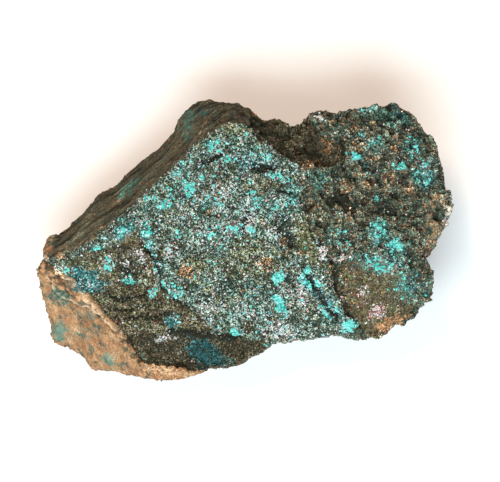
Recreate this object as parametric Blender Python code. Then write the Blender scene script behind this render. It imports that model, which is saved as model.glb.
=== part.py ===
"""A hand-sized lump of copper ore, dioptase and cuprite grown through a brown iron-stained matrix.

The lump is one broken stone, so it is one solid in one node. Its broad face leans back a little from
level. The points of that face are laid out in its own plane, as (right, up, out) in millimetres: right
and up run across the face, and out stands off it. The hidden sides fall from the face's outline to a
footprint on the table and are split by flat breaks. Noise then roughens the whole surface.
"""

import math

import bmesh
import bpy
from mathutils import Matrix, Vector, geometry, noise

NODE = "rock"
MM = 0.001

# Driving dimensions, in millimetres and degrees.
FACE_LEAN = 22.0
FACE_HEIGHT = 28.0
SEAT_CUT = 2.0
VOXEL = 0.6
TRIANGLES = 8800
EDGE_ROUNDING = 0.55  # what remeshing wears off an edge, given back to the outline first

# The outline of the broad face, clockwise from the left tip.
LEFT_WALL_EDGE = (
    (-35.1, -18.9, -19.0), (-35.5, -17.4, -18.2), (-35.3, -14.4, -16.0), (-36.1, -11.2, -13.0),
    (-36.9, -9.0, -11.0), (-37.3, -5.8, -7.5), (-36.0, -4.0, -5.5),
)
BACK_LEFT_EDGE = (
    (-36.2, -2.0, -6.5), (-35.3, -0.2, -8.0), (-31.6, 2.4, -10.5), (-28.9, 5.1, -12.0),
    (-26.3, 7.7, -13.0), (-23.0, 9.9, -14.0), (-21.3, 12.0, -14.5), (-17.2, 15.1, -15.0),
    (-14.9, 17.2, -15.0), (-13.0, 19.8, -14.5), (-11.9, 22.2, -14.0), (-10.1, 24.2, -13.5),
    (-8.1, 25.0, -13.0),
)
TOP_EDGE = (
    (-5.0, 25.3, -12.0), (-1.8, 24.6, -11.0), (0.8, 23.7, -10.0), (2.4, 22.2, -9.5),
    (5.4, 21.3, -9.5), (8.1, 20.4, -9.5), (10.0, 20.5, -9.0), (11.0, 21.6, -8.0),
    (12.1, 22.6, -7.0), (14.4, 23.1, -6.0), (17.5, 22.8, -5.5), (20.2, 23.9, -6.0),
    (23.0, 23.9, -6.0), (27.0, 24.0, -7.0), (29.4, 22.9, -7.0),
)
RIGHT_EDGE = (
    (31.7, 20.3, -7.0), (33.4, 17.6, -6.5), (35.0, 15.0, -6.0), (36.0, 12.2, -6.0),
    (35.8, 9.6, -6.0), (36.9, 7.7, -5.5), (36.5, 5.0, -5.0), (35.4, 1.8, -5.0),
    (33.5, 0.1, -5.0), (32.0, -1.2, -5.0), (30.7, -2.2, -5.2), (33.0, -3.6, -5.0),
    (34.1, -6.3, -5.0), (33.1, -10.2, -5.0), (31.9, -10.9, -5.0), (31.2, -13.0, -5.0),
)
FRONT_EDGE = (
    (28.9, -14.4, -4.5), (27.5, -15.1, -4.2), (26.1, -16.4, -4.4), (23.9, -17.0, -4.5),
    (21.4, -16.4, -4.0), (18.0, -15.7, -3.2), (14.4, -16.9, -3.0), (9.9, -17.3, -3.0),
    (7.7, -17.8, -3.0), (4.4, -18.1, -3.0), (2.7, -19.8, -3.5), (0.6, -20.8, -4.0),
    (-1.4, -22.3, -4.0), (-5.4, -23.4, -4.0), (-8.1, -23.9, -4.0), (-11.7, -24.8, -4.5),
    (-15.3, -25.1, -5.0), (-18.9, -24.4, -7.0), (-22.2, -24.1, -9.0), (-25.3, -23.6, -11.0),
    (-27.2, -23.1, -12.0), (-29.0, -21.5, -14.0), (-31.7, -20.1, -17.0),
)

# Breaks and lumps inside the outline, each a row of points.
FACE_ROWS = {
    "back rim of the bright face": (
        (-35.6, -3.6, -4.0), (-33.7, -3.0, -2.5), (-29.7, -1.5, -1.5), (-26.1, 0.9, -1.0),
        (-22.5, 4.3, -0.6), (-18.9, 7.4, -0.3), (-15.3, 10.7, 0.0), (-11.7, 14.3, 0.2),
        (-8.1, 17.7, 0.4), (-5.0, 19.9, 0.6), (-1.4, 21.0, 1.0),
    ),
    "foot of the back rim": (
        (-33.2, -1.4, -5.0), (-28.8, 2.0, -6.0), (-24.3, 6.0, -6.5), (-20.0, 9.2, -6.5),
        (-16.2, 13.2, -7.0), (-12.0, 17.0, -7.0), (-10.8, 21.0, -9.5), (-7.2, 22.6, -8.5),
        (-4.0, 23.3, -7.5), (-0.8, 22.8, -7.0), (1.2, 21.6, -6.5),
    ),
    "shoulder over the hollow": (
        (0.0, 19.7, 0.8), (2.2, 17.9, 0.3), (4.9, 16.6, -0.2), (7.2, 14.4, -0.6),
        (9.9, 13.7, -0.8), (13.1, 13.5, -1.0), (15.0, 12.3, -1.8),
    ),
    "floor of the hollow": (
        (3.6, 18.9, -4.5), (6.3, 18.0, -6.5), (9.9, 17.0, -7.0), (13.1, 15.8, -5.5),
        (15.6, 14.4, -4.0),
    ),
    "rim over the left wall": (
        (-33.7, -5.4, -3.2), (-31.1, -6.8, -2.6), (-29.0, -9.2, -2.4), (-26.6, -11.9, -2.6),
        (-23.9, -14.8, -3.2), (-21.4, -18.0, -4.0), (-19.3, -21.2, -4.6), (-18.4, -22.7, -4.6),
    ),
    "ledge on the left wall": (
        (-35.2, -8.0, -7.2), (-32.4, -10.3, -6.4), (-29.5, -11.2, -5.2), (-27.4, -13.6, -5.2),
        (-24.6, -17.0, -5.8), (-22.2, -20.4, -6.4),
    ),
    "belly of the left wall": (
        (-33.6, -14.0, -11.5), (-30.6, -17.2, -11.8), (-27.0, -19.8, -10.0), (-32.4, -18.4, -15.0),
    ),
    "lip below the scoop": (
        (-15.3, -22.9, -3.6), (-11.7, -23.1, -3.2), (-8.1, -23.2, -3.2), (-4.0, -22.4, -3.3),
        (-0.4, -21.0, -3.4),
    ),
    "floor of the scoop": (
        (-16.6, -20.2, -6.0), (-12.4, -20.8, -6.4), (-7.2, -20.6, -6.0), (-2.4, -19.8, -5.2),
    ),
    "foot of the step over the scoop": (
        (-19.0, -18.0, -4.6), (-14.4, -17.4, -4.6), (-9.6, -17.6, -4.6), (-4.4, -18.2, -4.4),
        (0.4, -18.8, -4.0),
    ),
    "top of the step over the scoop": (
        (-18.4, -15.6, -3.2), (-14.4, -15.9, -2.9), (-10.6, -15.8, -2.7), (-8.1, -15.6, -2.6),
    ),
    "crest of the curved scarp": (
        (-18.0, -0.9, 0.0), (-16.6, -4.0, 0.1), (-15.3, -7.2, 0.0), (-13.1, -10.2, -0.2),
        (-9.9, -12.0, -0.4), (-7.6, -14.0, -0.6), (-5.4, -16.2, -1.2), (-0.9, -17.3, -1.6),
    ),
    "foot of the curved scarp": (
        (-18.9, -1.6, -1.2), (-17.8, -4.6, -1.5), (-16.5, -8.2, -1.7), (-14.2, -11.3, -2.2),
        (-10.8, -13.3, -2.4), (-8.6, -15.2, -2.6),
    ),
    "left slabs": (
        (-31.0, -3.2, -1.9), (-26.0, -2.0, -1.0), (-22.0, 0.6, -0.8), (-22.4, -4.2, -0.7),
        (-27.0, -5.6, -2.2), (-22.0, -7.4, -2.0), (-26.0, -9.0, -1.4), (-20.7, -9.2, -1.4),
        (-22.5, -13.0, -2.5), (-17.4, -13.4, -2.6),
    ),
    "edge of the bright face over the right block": (
        (9.9, 7.2, -0.5), (11.7, 1.8, -0.3), (13.9, -1.6, 0.4), (15.5, -4.6, 0.0),
        (16.5, -8.6, -0.4), (17.8, -12.0, -0.8), (19.7, -15.6, -1.6),
    ),
    "foot of that edge": (
        (15.4, -1.0, -1.0), (16.8, -4.8, -1.6), (17.9, -9.0, -2.0), (19.3, -12.6, -2.4),
    ),
    "middle of the bright face": (
        (-4.5, 10.8, 0.4), (0.9, 7.2, 0.0), (-8.1, 1.8, 0.6), (0.9, -1.8, 0.6), (8.1, -7.2, 0.8),
        (-2.7, -10.8, 0.1), (9.9, -14.2, -0.8), (4.5, 12.0, -0.2), (-14.0, 6.0, 0.3),
        (13.0, -12.0, -0.6), (-12.0, -2.0, 0.5), (-1.0, 14.6, 0.6), (5.0, 1.8, 0.3),
    ),
    "slit and pocket near the top": (
        (-7.4, 14.0, -0.9), (1.4, 12.4, -1.6), (2.6, 12.5, -1.4),
    ),
    "top lobe of the right block": (
        (13.6, 20.6, -5.0), (17.1, 20.0, -3.2), (21.6, 21.0, -3.2), (26.6, 20.8, -3.6),
        (30.2, 17.0, -3.4), (19.4, 16.4, -1.0), (25.0, 15.6, -0.4), (30.8, 12.6, -1.8),
        (33.0, 9.4, -3.4), (17.6, 11.2, -1.4), (23.0, 11.0, -0.4), (28.2, 9.6, -1.0),
    ),
    "valley across the right block": (
        (15.8, 7.6, -3.0), (13.0, 4.6, -2.0), (20.6, 5.4, -2.4), (25.6, 4.6, -3.4),
        (30.4, 5.0, -3.4), (34.8, 5.2, -3.0),
    ),
    "low lobe of the right block": (
        (18.4, 0.6, -0.6), (23.4, 0.4, -0.2), (28.6, -0.4, -1.2), (33.6, 2.4, -3.2),
        (19.3, -3.0, -0.6), (24.0, -4.4, -0.8), (29.8, -5.0, -1.8), (22.4, -9.0, -1.6),
        (28.0, -9.6, -2.0), (31.4, -9.0, -3.2), (24.8, -13.4, -2.6), (20.8, -14.6, -2.6),
    ),
}

# The footprint on the table as seen from above, as (x, y), and the flat breaks of the hidden sides.
# Each break is a point and the way it faces, both in the standing lump's own axes.
FOOTPRINT = (
    (-33.5, -9.0), (-24.0, -12.5), (-10.0, -11.5), (6.0, -8.0), (20.0, -7.0), (29.0, -1.0),
    (31.5, 9.0), (25.0, 18.0), (12.0, 23.0), (-4.0, 25.0), (-17.0, 20.0), (-28.0, 10.0),
    (-34.0, 0.0),
)
BREAKS = (
    ((33.5, 16.0, 8.0), (0.80, 0.50, -0.35)),
    ((33.0, -4.0, 9.0), (0.86, -0.30, -0.42)),
    ((32.0, 8.0, 10.0), (0.90, 0.20, -0.40)),
    ((14.0, 26.5, 12.0), (0.25, 0.93, -0.28)),
    ((24.0, 22.5, 12.0), (0.10, 0.86, -0.50)),
    ((-16.0, 24.5, 6.0), (-0.46, 0.83, -0.32)),
    ((-34.5, 8.0, 4.0), (-0.86, 0.40, -0.32)),
    ((20.8, -10.6, 6.8), (0.40, -0.76, -0.52)),
    ((6.2, -12.2, 4.6), (0.10, -0.74, -0.66)),
    ((-12.0, -17.4, 4.8), (-0.02, -0.84, -0.54)),
    ((-12.0, -13.0, 0.8), (0.22, -0.56, -0.80)),
    ((-30.0, -8.0, 0.2), (-0.15, -0.62, -0.77)),
    ((23.0, -8.0, 5.0), (0.52, -0.56, -0.64)),
    ((-26.0, 15.0, 3.5), (-0.58, 0.58, -0.57)),
    ((21.0, 20.0, 5.0), (0.46, 0.60, -0.66)),
    ((30.5, 6.0, 4.0), (0.74, 0.06, -0.67)),
    ((-2.0, 24.5, 6.0), (-0.08, 0.86, -0.50)),
)
SIDE_RINGS = (0.4, 0.75, 1.0)  # shares of the way down from the outline

# Roughness: size of the features, and how far they move the surface. The hidden sides are rougher.
ROUGHNESS = ((9.0, 0.55), (3.6, 0.34), (1.6, 0.16))
CREASING = 0.4  # share of each push that folds into sharp grooves
CREASE_OFFSET = Vector((40, 7, 19))
SIDE_ROUGHNESS = 2.0
SIDE_START = 0.3  # how far a surface turns from the broad face before it counts as a side
SIDE_FADE = 4.0
FAR = 200.0


def face_to_stone(point):
    """A point of the broad face in the standing lump's axes, in millimetres."""
    right, up, out = point
    lean = math.radians(FACE_LEAN)
    return Vector((
        right,
        up * math.cos(lean) - out * math.sin(lean),
        FACE_HEIGHT + up * math.sin(lean) + out * math.cos(lean),
    ))


def grown(outline):
    """The clockwise outline moved outward in its own plane by the rounding still to come."""
    moved = []
    for i, (right, up, out) in enumerate(outline):
        before = outline[i - 1]
        after = outline[(i + 1) % len(outline)]
        along = Vector((after[0] - before[0], after[1] - before[1])).normalized()
        moved.append((right - along.y * EDGE_ROUNDING, up + along.x * EDGE_ROUNDING, out))
    return moved


def broad_face(stone):
    """The seen side, a net of triangles between its outline and the rows of points inside it."""
    outline = grown([*LEFT_WALL_EDGE, *BACK_LEFT_EDGE, *TOP_EDGE, *RIGHT_EDGE, *FRONT_EDGE])
    points = [*outline, *(point for row in FACE_ROWS.values() for point in row)]
    sides = [(i, (i + 1) % len(outline)) for i in range(len(outline))]
    flat = [Vector(point[:2]) for point in points]
    inside_outline = 1
    net = geometry.delaunay_2d_cdt(flat, sides, [], inside_outline, 1e-5)
    made = [stone.verts.new(face_to_stone(points[origin[0]])) for origin in net[3]]
    for triangle in net[2]:
        stone.faces.new([made[i] for i in triangle])
    place = {origin[0]: vert for origin, vert in zip(net[3], made)}
    return [place[i] for i in range(len(outline))]


def reach(outline, centre, way):
    """How far a closed outline lies from centre along way."""
    far = centre + way * FAR
    best = 0.0
    for i, start in enumerate(outline):
        end = outline[(i + 1) % len(outline)]
        hit = geometry.intersect_line_line_2d(centre, far, start, end)
        if hit:
            best = max(best, (hit - centre).length)
    return best


def hidden_sides(stone, rim):
    """The sides from the outline down to the footprint, and the underside that closes them."""
    footprint = [Vector(point) for point in FOOTPRINT]
    centre = sum(footprint, Vector((0, 0))) / len(footprint)
    ring = rim
    for down in SIDE_RINGS:
        lower = []
        for top in rim:
            spoke = top.co.to_2d() - centre
            foot = reach(footprint, centre, spoke.normalized())
            span = spoke.length + (foot - spoke.length) * down
            place = centre + spoke.normalized() * span
            lower.append(stone.verts.new((*place, top.co.z * (1 - down) - SEAT_CUT * down)))
        for i in range(len(rim)):
            j = (i + 1) % len(rim)
            stone.faces.new((ring[i], ring[j], lower[j], lower[i]))
        ring = lower
    stone.faces.new(ring)


def break_off(stone, point, facing):
    """Splits the lump along a flat break and keeps the side that the break doesn't face."""
    whole = [*stone.verts, *stone.edges, *stone.faces]
    cut = bmesh.ops.bisect_plane(stone, geom=whole, plane_co=point, plane_no=facing, clear_outer=True)
    edges = [part for part in cut["geom_cut"] if isinstance(part, bmesh.types.BMEdge)]
    bmesh.ops.contextual_create(stone, geom=edges)


def cage():
    """The lump with flat faces only, as a mesh in millimetres."""
    stone = bmesh.new()
    hidden_sides(stone, broad_face(stone))
    bmesh.ops.recalc_face_normals(stone, faces=stone.faces)
    for point, facing in BREAKS:
        break_off(stone, point, Vector(facing).normalized())
    bmesh.ops.triangulate(stone, faces=stone.faces)
    bmesh.ops.recalc_face_normals(stone, faces=stone.faces)
    mesh = bpy.data.meshes.new("cage")
    stone.to_mesh(mesh)
    stone.free()
    return mesh


def evaluated(obj):
    """A plain mesh of the object as its modifiers make it. The object is removed."""
    graph = bpy.context.evaluated_depsgraph_get()
    mesh = bpy.data.meshes.new_from_object(obj.evaluated_get(graph), depsgraph=graph)
    bpy.data.objects.remove(obj)
    return mesh


def with_modifier(mesh, kind, **settings):
    """The mesh after one modifier."""
    obj = bpy.data.objects.new("work", mesh)
    bpy.context.scene.collection.objects.link(obj)
    modifier = obj.modifiers.new(kind.title(), kind)
    for name, value in settings.items():
        setattr(modifier, name, value)
    return evaluated(obj)


def roughened(mesh):
    """The surface above the table, pushed in and out along its normals by noise of several sizes."""
    out = (face_to_stone((0, 0, 1)) - face_to_stone((0, 0, 0))).normalized()
    normals = [vert.normal.copy() for vert in mesh.vertices]
    for vert, normal in zip(mesh.vertices, normals):
        if vert.co.z < 0:
            continue
        push = 0.0
        for size, amount in ROUGHNESS:
            push += amount * noise.noise(vert.co / size)
            push -= CREASING * amount * abs(noise.noise(vert.co / size + CREASE_OFFSET))
        hidden = min(max(-SIDE_FADE * normal.dot(out) - SIDE_START, 0.0), 1.0)
        vert.co += normal * push * (1 + (SIDE_ROUGHNESS - 1) * hidden)
    return mesh


def seated(mesh):
    """The underside cut flat at the table, and the origin put at the middle of the base."""
    stone = bmesh.new()
    stone.from_mesh(mesh)
    break_off(stone, (0, 0, 0), Vector((0, 0, -1)))
    bmesh.ops.triangulate(stone, faces=stone.faces)
    xs = [vert.co.x for vert in stone.verts]
    ys = [vert.co.y for vert in stone.verts]
    middle = Vector(((min(xs) + max(xs)) / 2, (min(ys) + max(ys)) / 2, 0))
    bmesh.ops.transform(stone, matrix=Matrix.Scale(MM, 4) @ Matrix.Translation(-middle), verts=stone.verts)
    stone.to_mesh(mesh)
    stone.free()
    return mesh


def ore_material():
    """Dull olive-brown stone with a green cast."""
    material = bpy.data.materials.new("green_brown_ore")
    material.use_nodes = True
    shader = material.node_tree.nodes["Principled BSDF"]
    shader.inputs["Base Color"].default_value = (0.115, 0.150, 0.120, 1)
    shader.inputs["Roughness"].default_value = 0.62
    shader.inputs["Metallic"].default_value = 0.0
    return material


def build():
    for obj in list(bpy.data.objects):
        bpy.data.objects.remove(obj)
    mesh = with_modifier(cage(), "REMESH", mode="VOXEL", voxel_size=VOXEL)
    mesh = roughened(mesh)
    mesh = with_modifier(mesh, "DECIMATE", ratio=TRIANGLES / (2 * len(mesh.polygons)))
    mesh = seated(mesh)
    mesh.name = NODE
    mesh.materials.clear()
    mesh.materials.append(ore_material())
    rock = bpy.data.objects.new(NODE, mesh)
    bpy.context.scene.collection.objects.link(rock)


build()
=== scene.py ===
"""Looks for a lump of copper ore: dioptase and cuprite grown through a brown, iron-stained matrix.

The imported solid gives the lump's form. Here it gets its broken grain, the minerals on each of its faces,
and the loose-looking crystals that are too small for the solid. Places on the stone are given in the
plane of its broad face, as (right, up) in millimetres, because that is how one looks at it.
"""

import math

import bmesh
import bpy
import numpy as np
from bpy.props import FloatProperty, FloatVectorProperty, IntProperty, PointerProperty
from mathutils import Matrix, Vector, noise


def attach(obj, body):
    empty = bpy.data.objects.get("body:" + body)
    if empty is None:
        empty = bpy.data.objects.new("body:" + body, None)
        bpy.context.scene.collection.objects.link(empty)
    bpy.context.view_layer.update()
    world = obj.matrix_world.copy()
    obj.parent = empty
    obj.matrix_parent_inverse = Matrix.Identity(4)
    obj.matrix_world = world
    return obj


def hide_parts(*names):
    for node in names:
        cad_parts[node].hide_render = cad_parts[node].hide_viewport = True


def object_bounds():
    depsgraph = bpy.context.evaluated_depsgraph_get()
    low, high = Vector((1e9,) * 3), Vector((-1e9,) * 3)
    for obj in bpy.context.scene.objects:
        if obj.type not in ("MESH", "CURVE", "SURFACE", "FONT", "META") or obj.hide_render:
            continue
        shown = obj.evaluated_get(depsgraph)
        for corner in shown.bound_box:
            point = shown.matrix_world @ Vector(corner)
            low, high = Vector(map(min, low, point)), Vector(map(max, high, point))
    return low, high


bl_info = {
    "name": "Copper Ore Specimen",
    "version": (1, 0, 0),
    "blender": (4, 5, 0),
    "location": "View3D > Sidebar > Copper Ore",
    "description": "Grows a lump of dioptase and cuprite ore around its packed solid",
    "category": "Object",
}

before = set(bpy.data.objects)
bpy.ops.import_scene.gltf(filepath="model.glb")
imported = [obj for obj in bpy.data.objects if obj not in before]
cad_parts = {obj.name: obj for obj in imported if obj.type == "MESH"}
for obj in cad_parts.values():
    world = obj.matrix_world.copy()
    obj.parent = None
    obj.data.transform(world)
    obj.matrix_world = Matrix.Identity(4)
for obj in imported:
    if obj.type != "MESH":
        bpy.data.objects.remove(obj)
CAD_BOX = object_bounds()
CAD_NODE = "rock"
MM = 0.001

# How far the stone, and the crystals on it, may pass the solid's box: at the low and the high sides, in
# millimetres. Nothing goes below the underside.
STONE_SLACK = (0.5, 0.4)
CRYSTAL_SLACK = (0.6, 0.5)

# Heights in millimetres: the underside stays flat up to the first, the grain starts at the second and grows
# to its full depth over the third, and no crystal sits lower than the fourth.
UNDERSIDE = 0.2
GRAIN_START = 0.15
GRAIN_RISE = 1.2
LOWEST_CRYSTAL = 0.8

# The mesh's points are shaken this far each way where the ground is rough, in millimetres.
SCATTER = 0.10

# The height of the grain is kept on the mesh as a share: its middle, and the millimetres that make 1.
# From this height the shader paints the grain's crests lighter and its hollows darker, as painted light and
# shade.
CREST_MIDDLE = 0.56
CREST_SPAN = 0.75

# The plane of the broad face in the row frame, in millimetres: its middle, and the way it leans back.
FACE_MIDDLE = Vector((0.09, -3.47, 28.0))
FACE_LEAN = math.radians(22.0)
RIGHT = Vector((1.0, 0.0, 0.0))
UP = Vector((0.0, math.cos(FACE_LEAN), math.sin(FACE_LEAN)))
OUT = Vector((0.0, -math.sin(FACE_LEAN), math.cos(FACE_LEAN)))

# How the thin beds of the back wall run in that plane, in degrees.
BED_TURN = 39.0

# Where the camera looks, as right, up and out of the middle of that plane in millimetres, and then where
# the lights point and half the width of the table, in metres.
CAMERA_AIM = (0.9, -0.2, -4.0)
LIGHT_AIM = (0.0, 0.0, 0.02)
TABLE_HALF = 3.0

# The faces of the stone, each an outline in the plane of the broad face.
ZONES = {
    "left_wall": (
        (-37.5, -3.2), (-35.0, -4.6), (-33.7, -5.4), (-31.1, -6.8), (-29.0, -9.2), (-26.6, -11.9),
        (-23.9, -14.8), (-21.4, -18.0), (-19.3, -21.2), (-18.4, -22.7), (-18.6, -30.0),
        (-45.0, -30.0), (-45.0, -3.2),
    ),
    "ledge": (
        (-38.0, -3.2), (-34.4, -5.0), (-31.3, -6.8), (-28.7, -10.2), (-26.4, -12.2), (-24.0, -14.7),
        (-21.2, -17.9), (-19.2, -21.0), (-18.2, -22.6), (-18.8, -22.9), (-20.6, -21.6), (-22.4, -18.6),
        (-23.2, -17.0), (-24.8, -14.9), (-26.6, -13.0), (-28.2, -12.0), (-30.4, -11.4), (-33.7, -9.8),
        (-35.6, -6.6), (-38.0, -5.8),
    ),
    "lip": (
        (-19.4, -21.4), (-17.0, -22.3), (-14.0, -22.6), (-11.0, -22.8), (-8.6, -23.6),
        (-6.6, -23.9), (-6.6, -28.0), (-19.4, -28.0),
    ),
    "back_wall": (
        (-45.0, -3.4), (-37.5, -3.4), (-33.7, -2.9), (-29.7, -1.4), (-26.1, 0.9), (-22.5, 4.3),
        (-18.9, 7.4), (-15.3, 10.7), (-11.7, 14.3), (-8.1, 17.7), (-5.0, 19.9), (-1.4, 21.0),
        (1.0, 20.4), (3.0, 19.6), (7.0, 30.0), (-45.0, 30.0),
    ),
    "hollow": (
        (0.8, 20.6), (2.4, 18.3), (5.0, 16.9), (7.2, 14.8), (9.9, 14.0), (12.6, 13.4),
        (15.8, 13.4), (18.0, 15.6), (14.4, 18.6), (12.2, 21.0), (9.8, 23.0), (5.0, 26.0), (1.6, 26.0),
    ),
    "left_slab": (
        (-33.4, -4.0), (-26.0, -1.2), (-20.0, 1.6), (-18.0, -1.0), (-16.8, -4.0), (-15.6, -7.0),
        (-20.0, -8.0), (-26.0, -8.2), (-31.0, -6.4),
    ),
    "glassy_lump": (
        (-22.5, -2.2), (-20.2, -1.4), (-18.4, -1.6), (-16.8, -2.9), (-15.9, -4.9), (-16.8, -6.7),
        (-19.2, -7.0), (-21.5, -6.1), (-22.6, -4.6),
    ),
    "olive_slab": (
        (-29.0, -9.2), (-26.0, -8.2), (-20.0, -8.0), (-15.6, -7.2), (-13.2, -10.4), (-10.0, -12.2),
        (-7.8, -14.2), (-5.6, -16.2), (-9.0, -16.8), (-19.0, -17.6), (-21.4, -18.0),
        (-23.9, -14.8), (-26.6, -11.9),
    ),
    "scoop": (
        (-21.4, -18.0), (-18.5, -17.4), (-9.0, -16.8), (-1.0, -17.6), (3.0, -18.6), (5.0, -20.0),
        (-2.0, -26.0), (-6.6, -26.0), (-6.8, -23.9), (-8.6, -23.6), (-11.0, -22.8),
        (-14.0, -22.6), (-17.0, -22.3), (-18.8, -22.0),
    ),
    "block": (
        (12.4, 13.4), (9.9, 7.2), (11.7, 1.8), (13.9, -1.6), (15.5, -4.6), (16.5, -8.6),
        (17.8, -12.0), (19.7, -15.6), (20.0, -24.0), (45.0, -24.0), (45.0, 30.0), (9.8, 30.0),
        (9.8, 23.0), (12.2, 21.0), (14.4, 18.6), (18.0, 15.6), (15.8, 13.4),
    ),
    "grey_slab": (
        (17.6, -4.4), (21.0, -3.8), (25.0, -4.4), (29.0, -6.4), (30.4, -10.0), (29.5, -14.0),
        (26.0, -16.5), (21.5, -17.0), (19.4, -13.0), (17.6, -9.0),
    ),
}

# What each face carries: 0 is none and 1 is full. Everything else of the seen side is the bright face.
MINERALS = (
    "teal", "film", "deep", "pale", "rust", "brown", "moss", "dark", "red", "smooth", "chunky", "bedded",
)
FACE_MINERALS = {
    "bright_face": {"teal": 0.09, "pale": 0.065, "moss": 0.22, "dark": 0.28, "brown": 0.10, "chunky": 0.1},
    "left_wall": {"rust": 0.76, "smooth": 0.93, "film": 0.16, "dark": 0.08},
    "ledge": {"rust": 0.30, "smooth": 0.35, "brown": 1.0, "moss": 0.2, "dark": 0.40},
    "lip": {"rust": 1.2, "smooth": 0.75},
    "back_wall": {
        "brown": 0.55, "smooth": 0.85, "film": 0.22, "dark": 0.24, "rust": 0.03, "bedded": 1.0,
    },
    # The hollow's dark is partly dark matrix and partly painted shade in the recess.
    "hollow": {"dark": 0.5, "brown": 0.55, "moss": 0.3, "film": 0.15, "smooth": 0.40, "chunky": 0.9},
    "left_slab": {
        "teal": 0.04, "pale": 0.04, "moss": 0.55, "brown": 0.35, "smooth": 0.25, "dark": 0.2, "chunky": 0.5,
        "bedded": 0.2,
    },
    "glassy_lump": {
        "pale": 0.07, "moss": 0.5, "brown": 0.5, "smooth": 0.25, "dark": 0.3, "chunky": 0.3, "film": 0.2,
    },
    "olive_slab": {
        "pale": 0.01, "moss": 0.8, "brown": 0.5, "dark": 0.22, "smooth": 0.15, "chunky": 0.3, "film": 0.12,
    },
    # The scoop's dark is partly dark matrix and partly painted shade in the recess.
    "scoop": {"teal": 0.02, "moss": 0.4, "brown": 0.55, "dark": 0.5, "smooth": 0.3, "chunky": 0.3},
    "block": {
        "teal": 0.04, "pale": 0.02, "moss": 0.40, "brown": 0.60, "dark": 0.34, "rust": 0.20, "chunky": 0.95,
        "film": 0.42, "smooth": 0.22,
    },
    "grey_slab": {"pale": 0.03, "moss": 0.5, "brown": 0.45, "smooth": 0.55, "dark": 0.05, "bedded": 0.4},
}

# How far each face lies above or below the bright face next to it, in millimetres.
LEVELS = {
    "left_slab": -0.35, "glassy_lump": 0.15, "olive_slab": -0.75, "scoop": -0.60, "grey_slab": -0.40,
    "hollow": -0.50, "ledge": 0.60, "lip": 0.15, "left_wall": -0.25,
}

# Faces that are cut out of a larger one.
PARTS_OF = {"grey_slab": "block", "glassy_lump": "left_slab"}

# Faces that broke flat, in low steps.
FLAT_BREAKS = ("left_slab", "glassy_lump", "olive_slab", "scoop")

# Cracks and steps between the faces: half width, depth, and the line that they follow. They are also painted
# dark, as painted shade in them.
CREVICES = (
    (0.28, 0.28, ((-37.0, -3.2), (-35.4, -4.6), (-33.2, -7.0), (-31.6, -9.6))),
    (0.26, 0.22, ((-35.8, -7.4), (-33.8, -10.3), (-30.6, -12.0), (-28.4, -12.7), (-26.6, -13.9))),
    (0.30, 0.30, ((-24.2, -16.4), (-22.9, -18.4), (-20.8, -21.8))),
    (
        0.28, 0.55,
        ((-19.2, -0.9), (-17.9, -1.5), (-16.6, -2.9), (-15.5, -5.2), (-15.3, -8.6), (-13.1, -11.3),
         (-9.9, -12.6)),
    ),
    (0.22, 0.40, ((-21.0, -2.2), (-20.2, -3.5), (-20.5, -5.2))),
    (0.20, 0.35, ((-19.4, -6.1), (-17.6, -4.7))),
    (0.24, 0.35, ((-23.0, -4.4), (-22.6, -2.6), (-21.2, -1.4))),
    (0.24, 0.60, ((15.8, -4.2), (16.5, -7.7), (17.1, -10.3), (18.5, -13.2), (19.8, -15.0))),
    (0.35, 0.50, ((10.6, -5.2), (12.4, -8.4), (14.2, -11.4), (16.4, -14.2))),
    (0.30, 0.50, ((-22.6, -4.8), (-21.4, -5.8), (-19.8, -6.4))),
    (0.30, 0.80, ((0.0, 4.2), (0.4, 3.7), (0.7, 2.9), (-0.4, 2.1), (0.2, 1.4))),
    (0.40, 0.95, ((1.2, 12.7), (3.0, 12.9), (4.9, 12.6))),
    (0.30, 0.85, ((-8.0, 13.7), (-6.0, 14.4), (-4.2, 15.2))),
    (0.32, 0.70, ((6.0, 8.8), (7.2, 8.4), (8.2, 8.2))),
    (0.50, 0.60, ((6.2, 2.0), (7.6, 0.8), (8.6, -0.9))),
    (0.60, 0.80, ((15.4, 6.6), (16.8, 7.6), (18.4, 7.2))),
    (0.25, 0.40, ((-13.8, -3.0), (-12.6, -1.9), (-11.6, -1.2))),
    (0.50, 0.50, ((-13.2, -17.0), (-9.0, -17.4), (-4.4, -17.6), (-1.0, -18.0))),
    (0.30, 0.35, ((2.0, -17.2), (3.8, -16.4), (5.8, -17.0))),
    (0.25, 0.50, ((-25.4, -9.6), (-22.6, -11.0), (-20.2, -10.8), (-18.0, -10.0))),
    (0.25, 0.50, ((-21.6, -14.6), (-19.0, -13.9), (-16.4, -14.4), (-13.6, -13.2))),
    (0.22, 0.40, ((-23.4, -12.6), (-20.8, -12.8), (-18.4, -12.0))),
    (0.26, 0.25, ((9.9, 7.2), (11.2, 3.8), (12.0, 0.6), (13.6, -1.6))),
)
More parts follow.
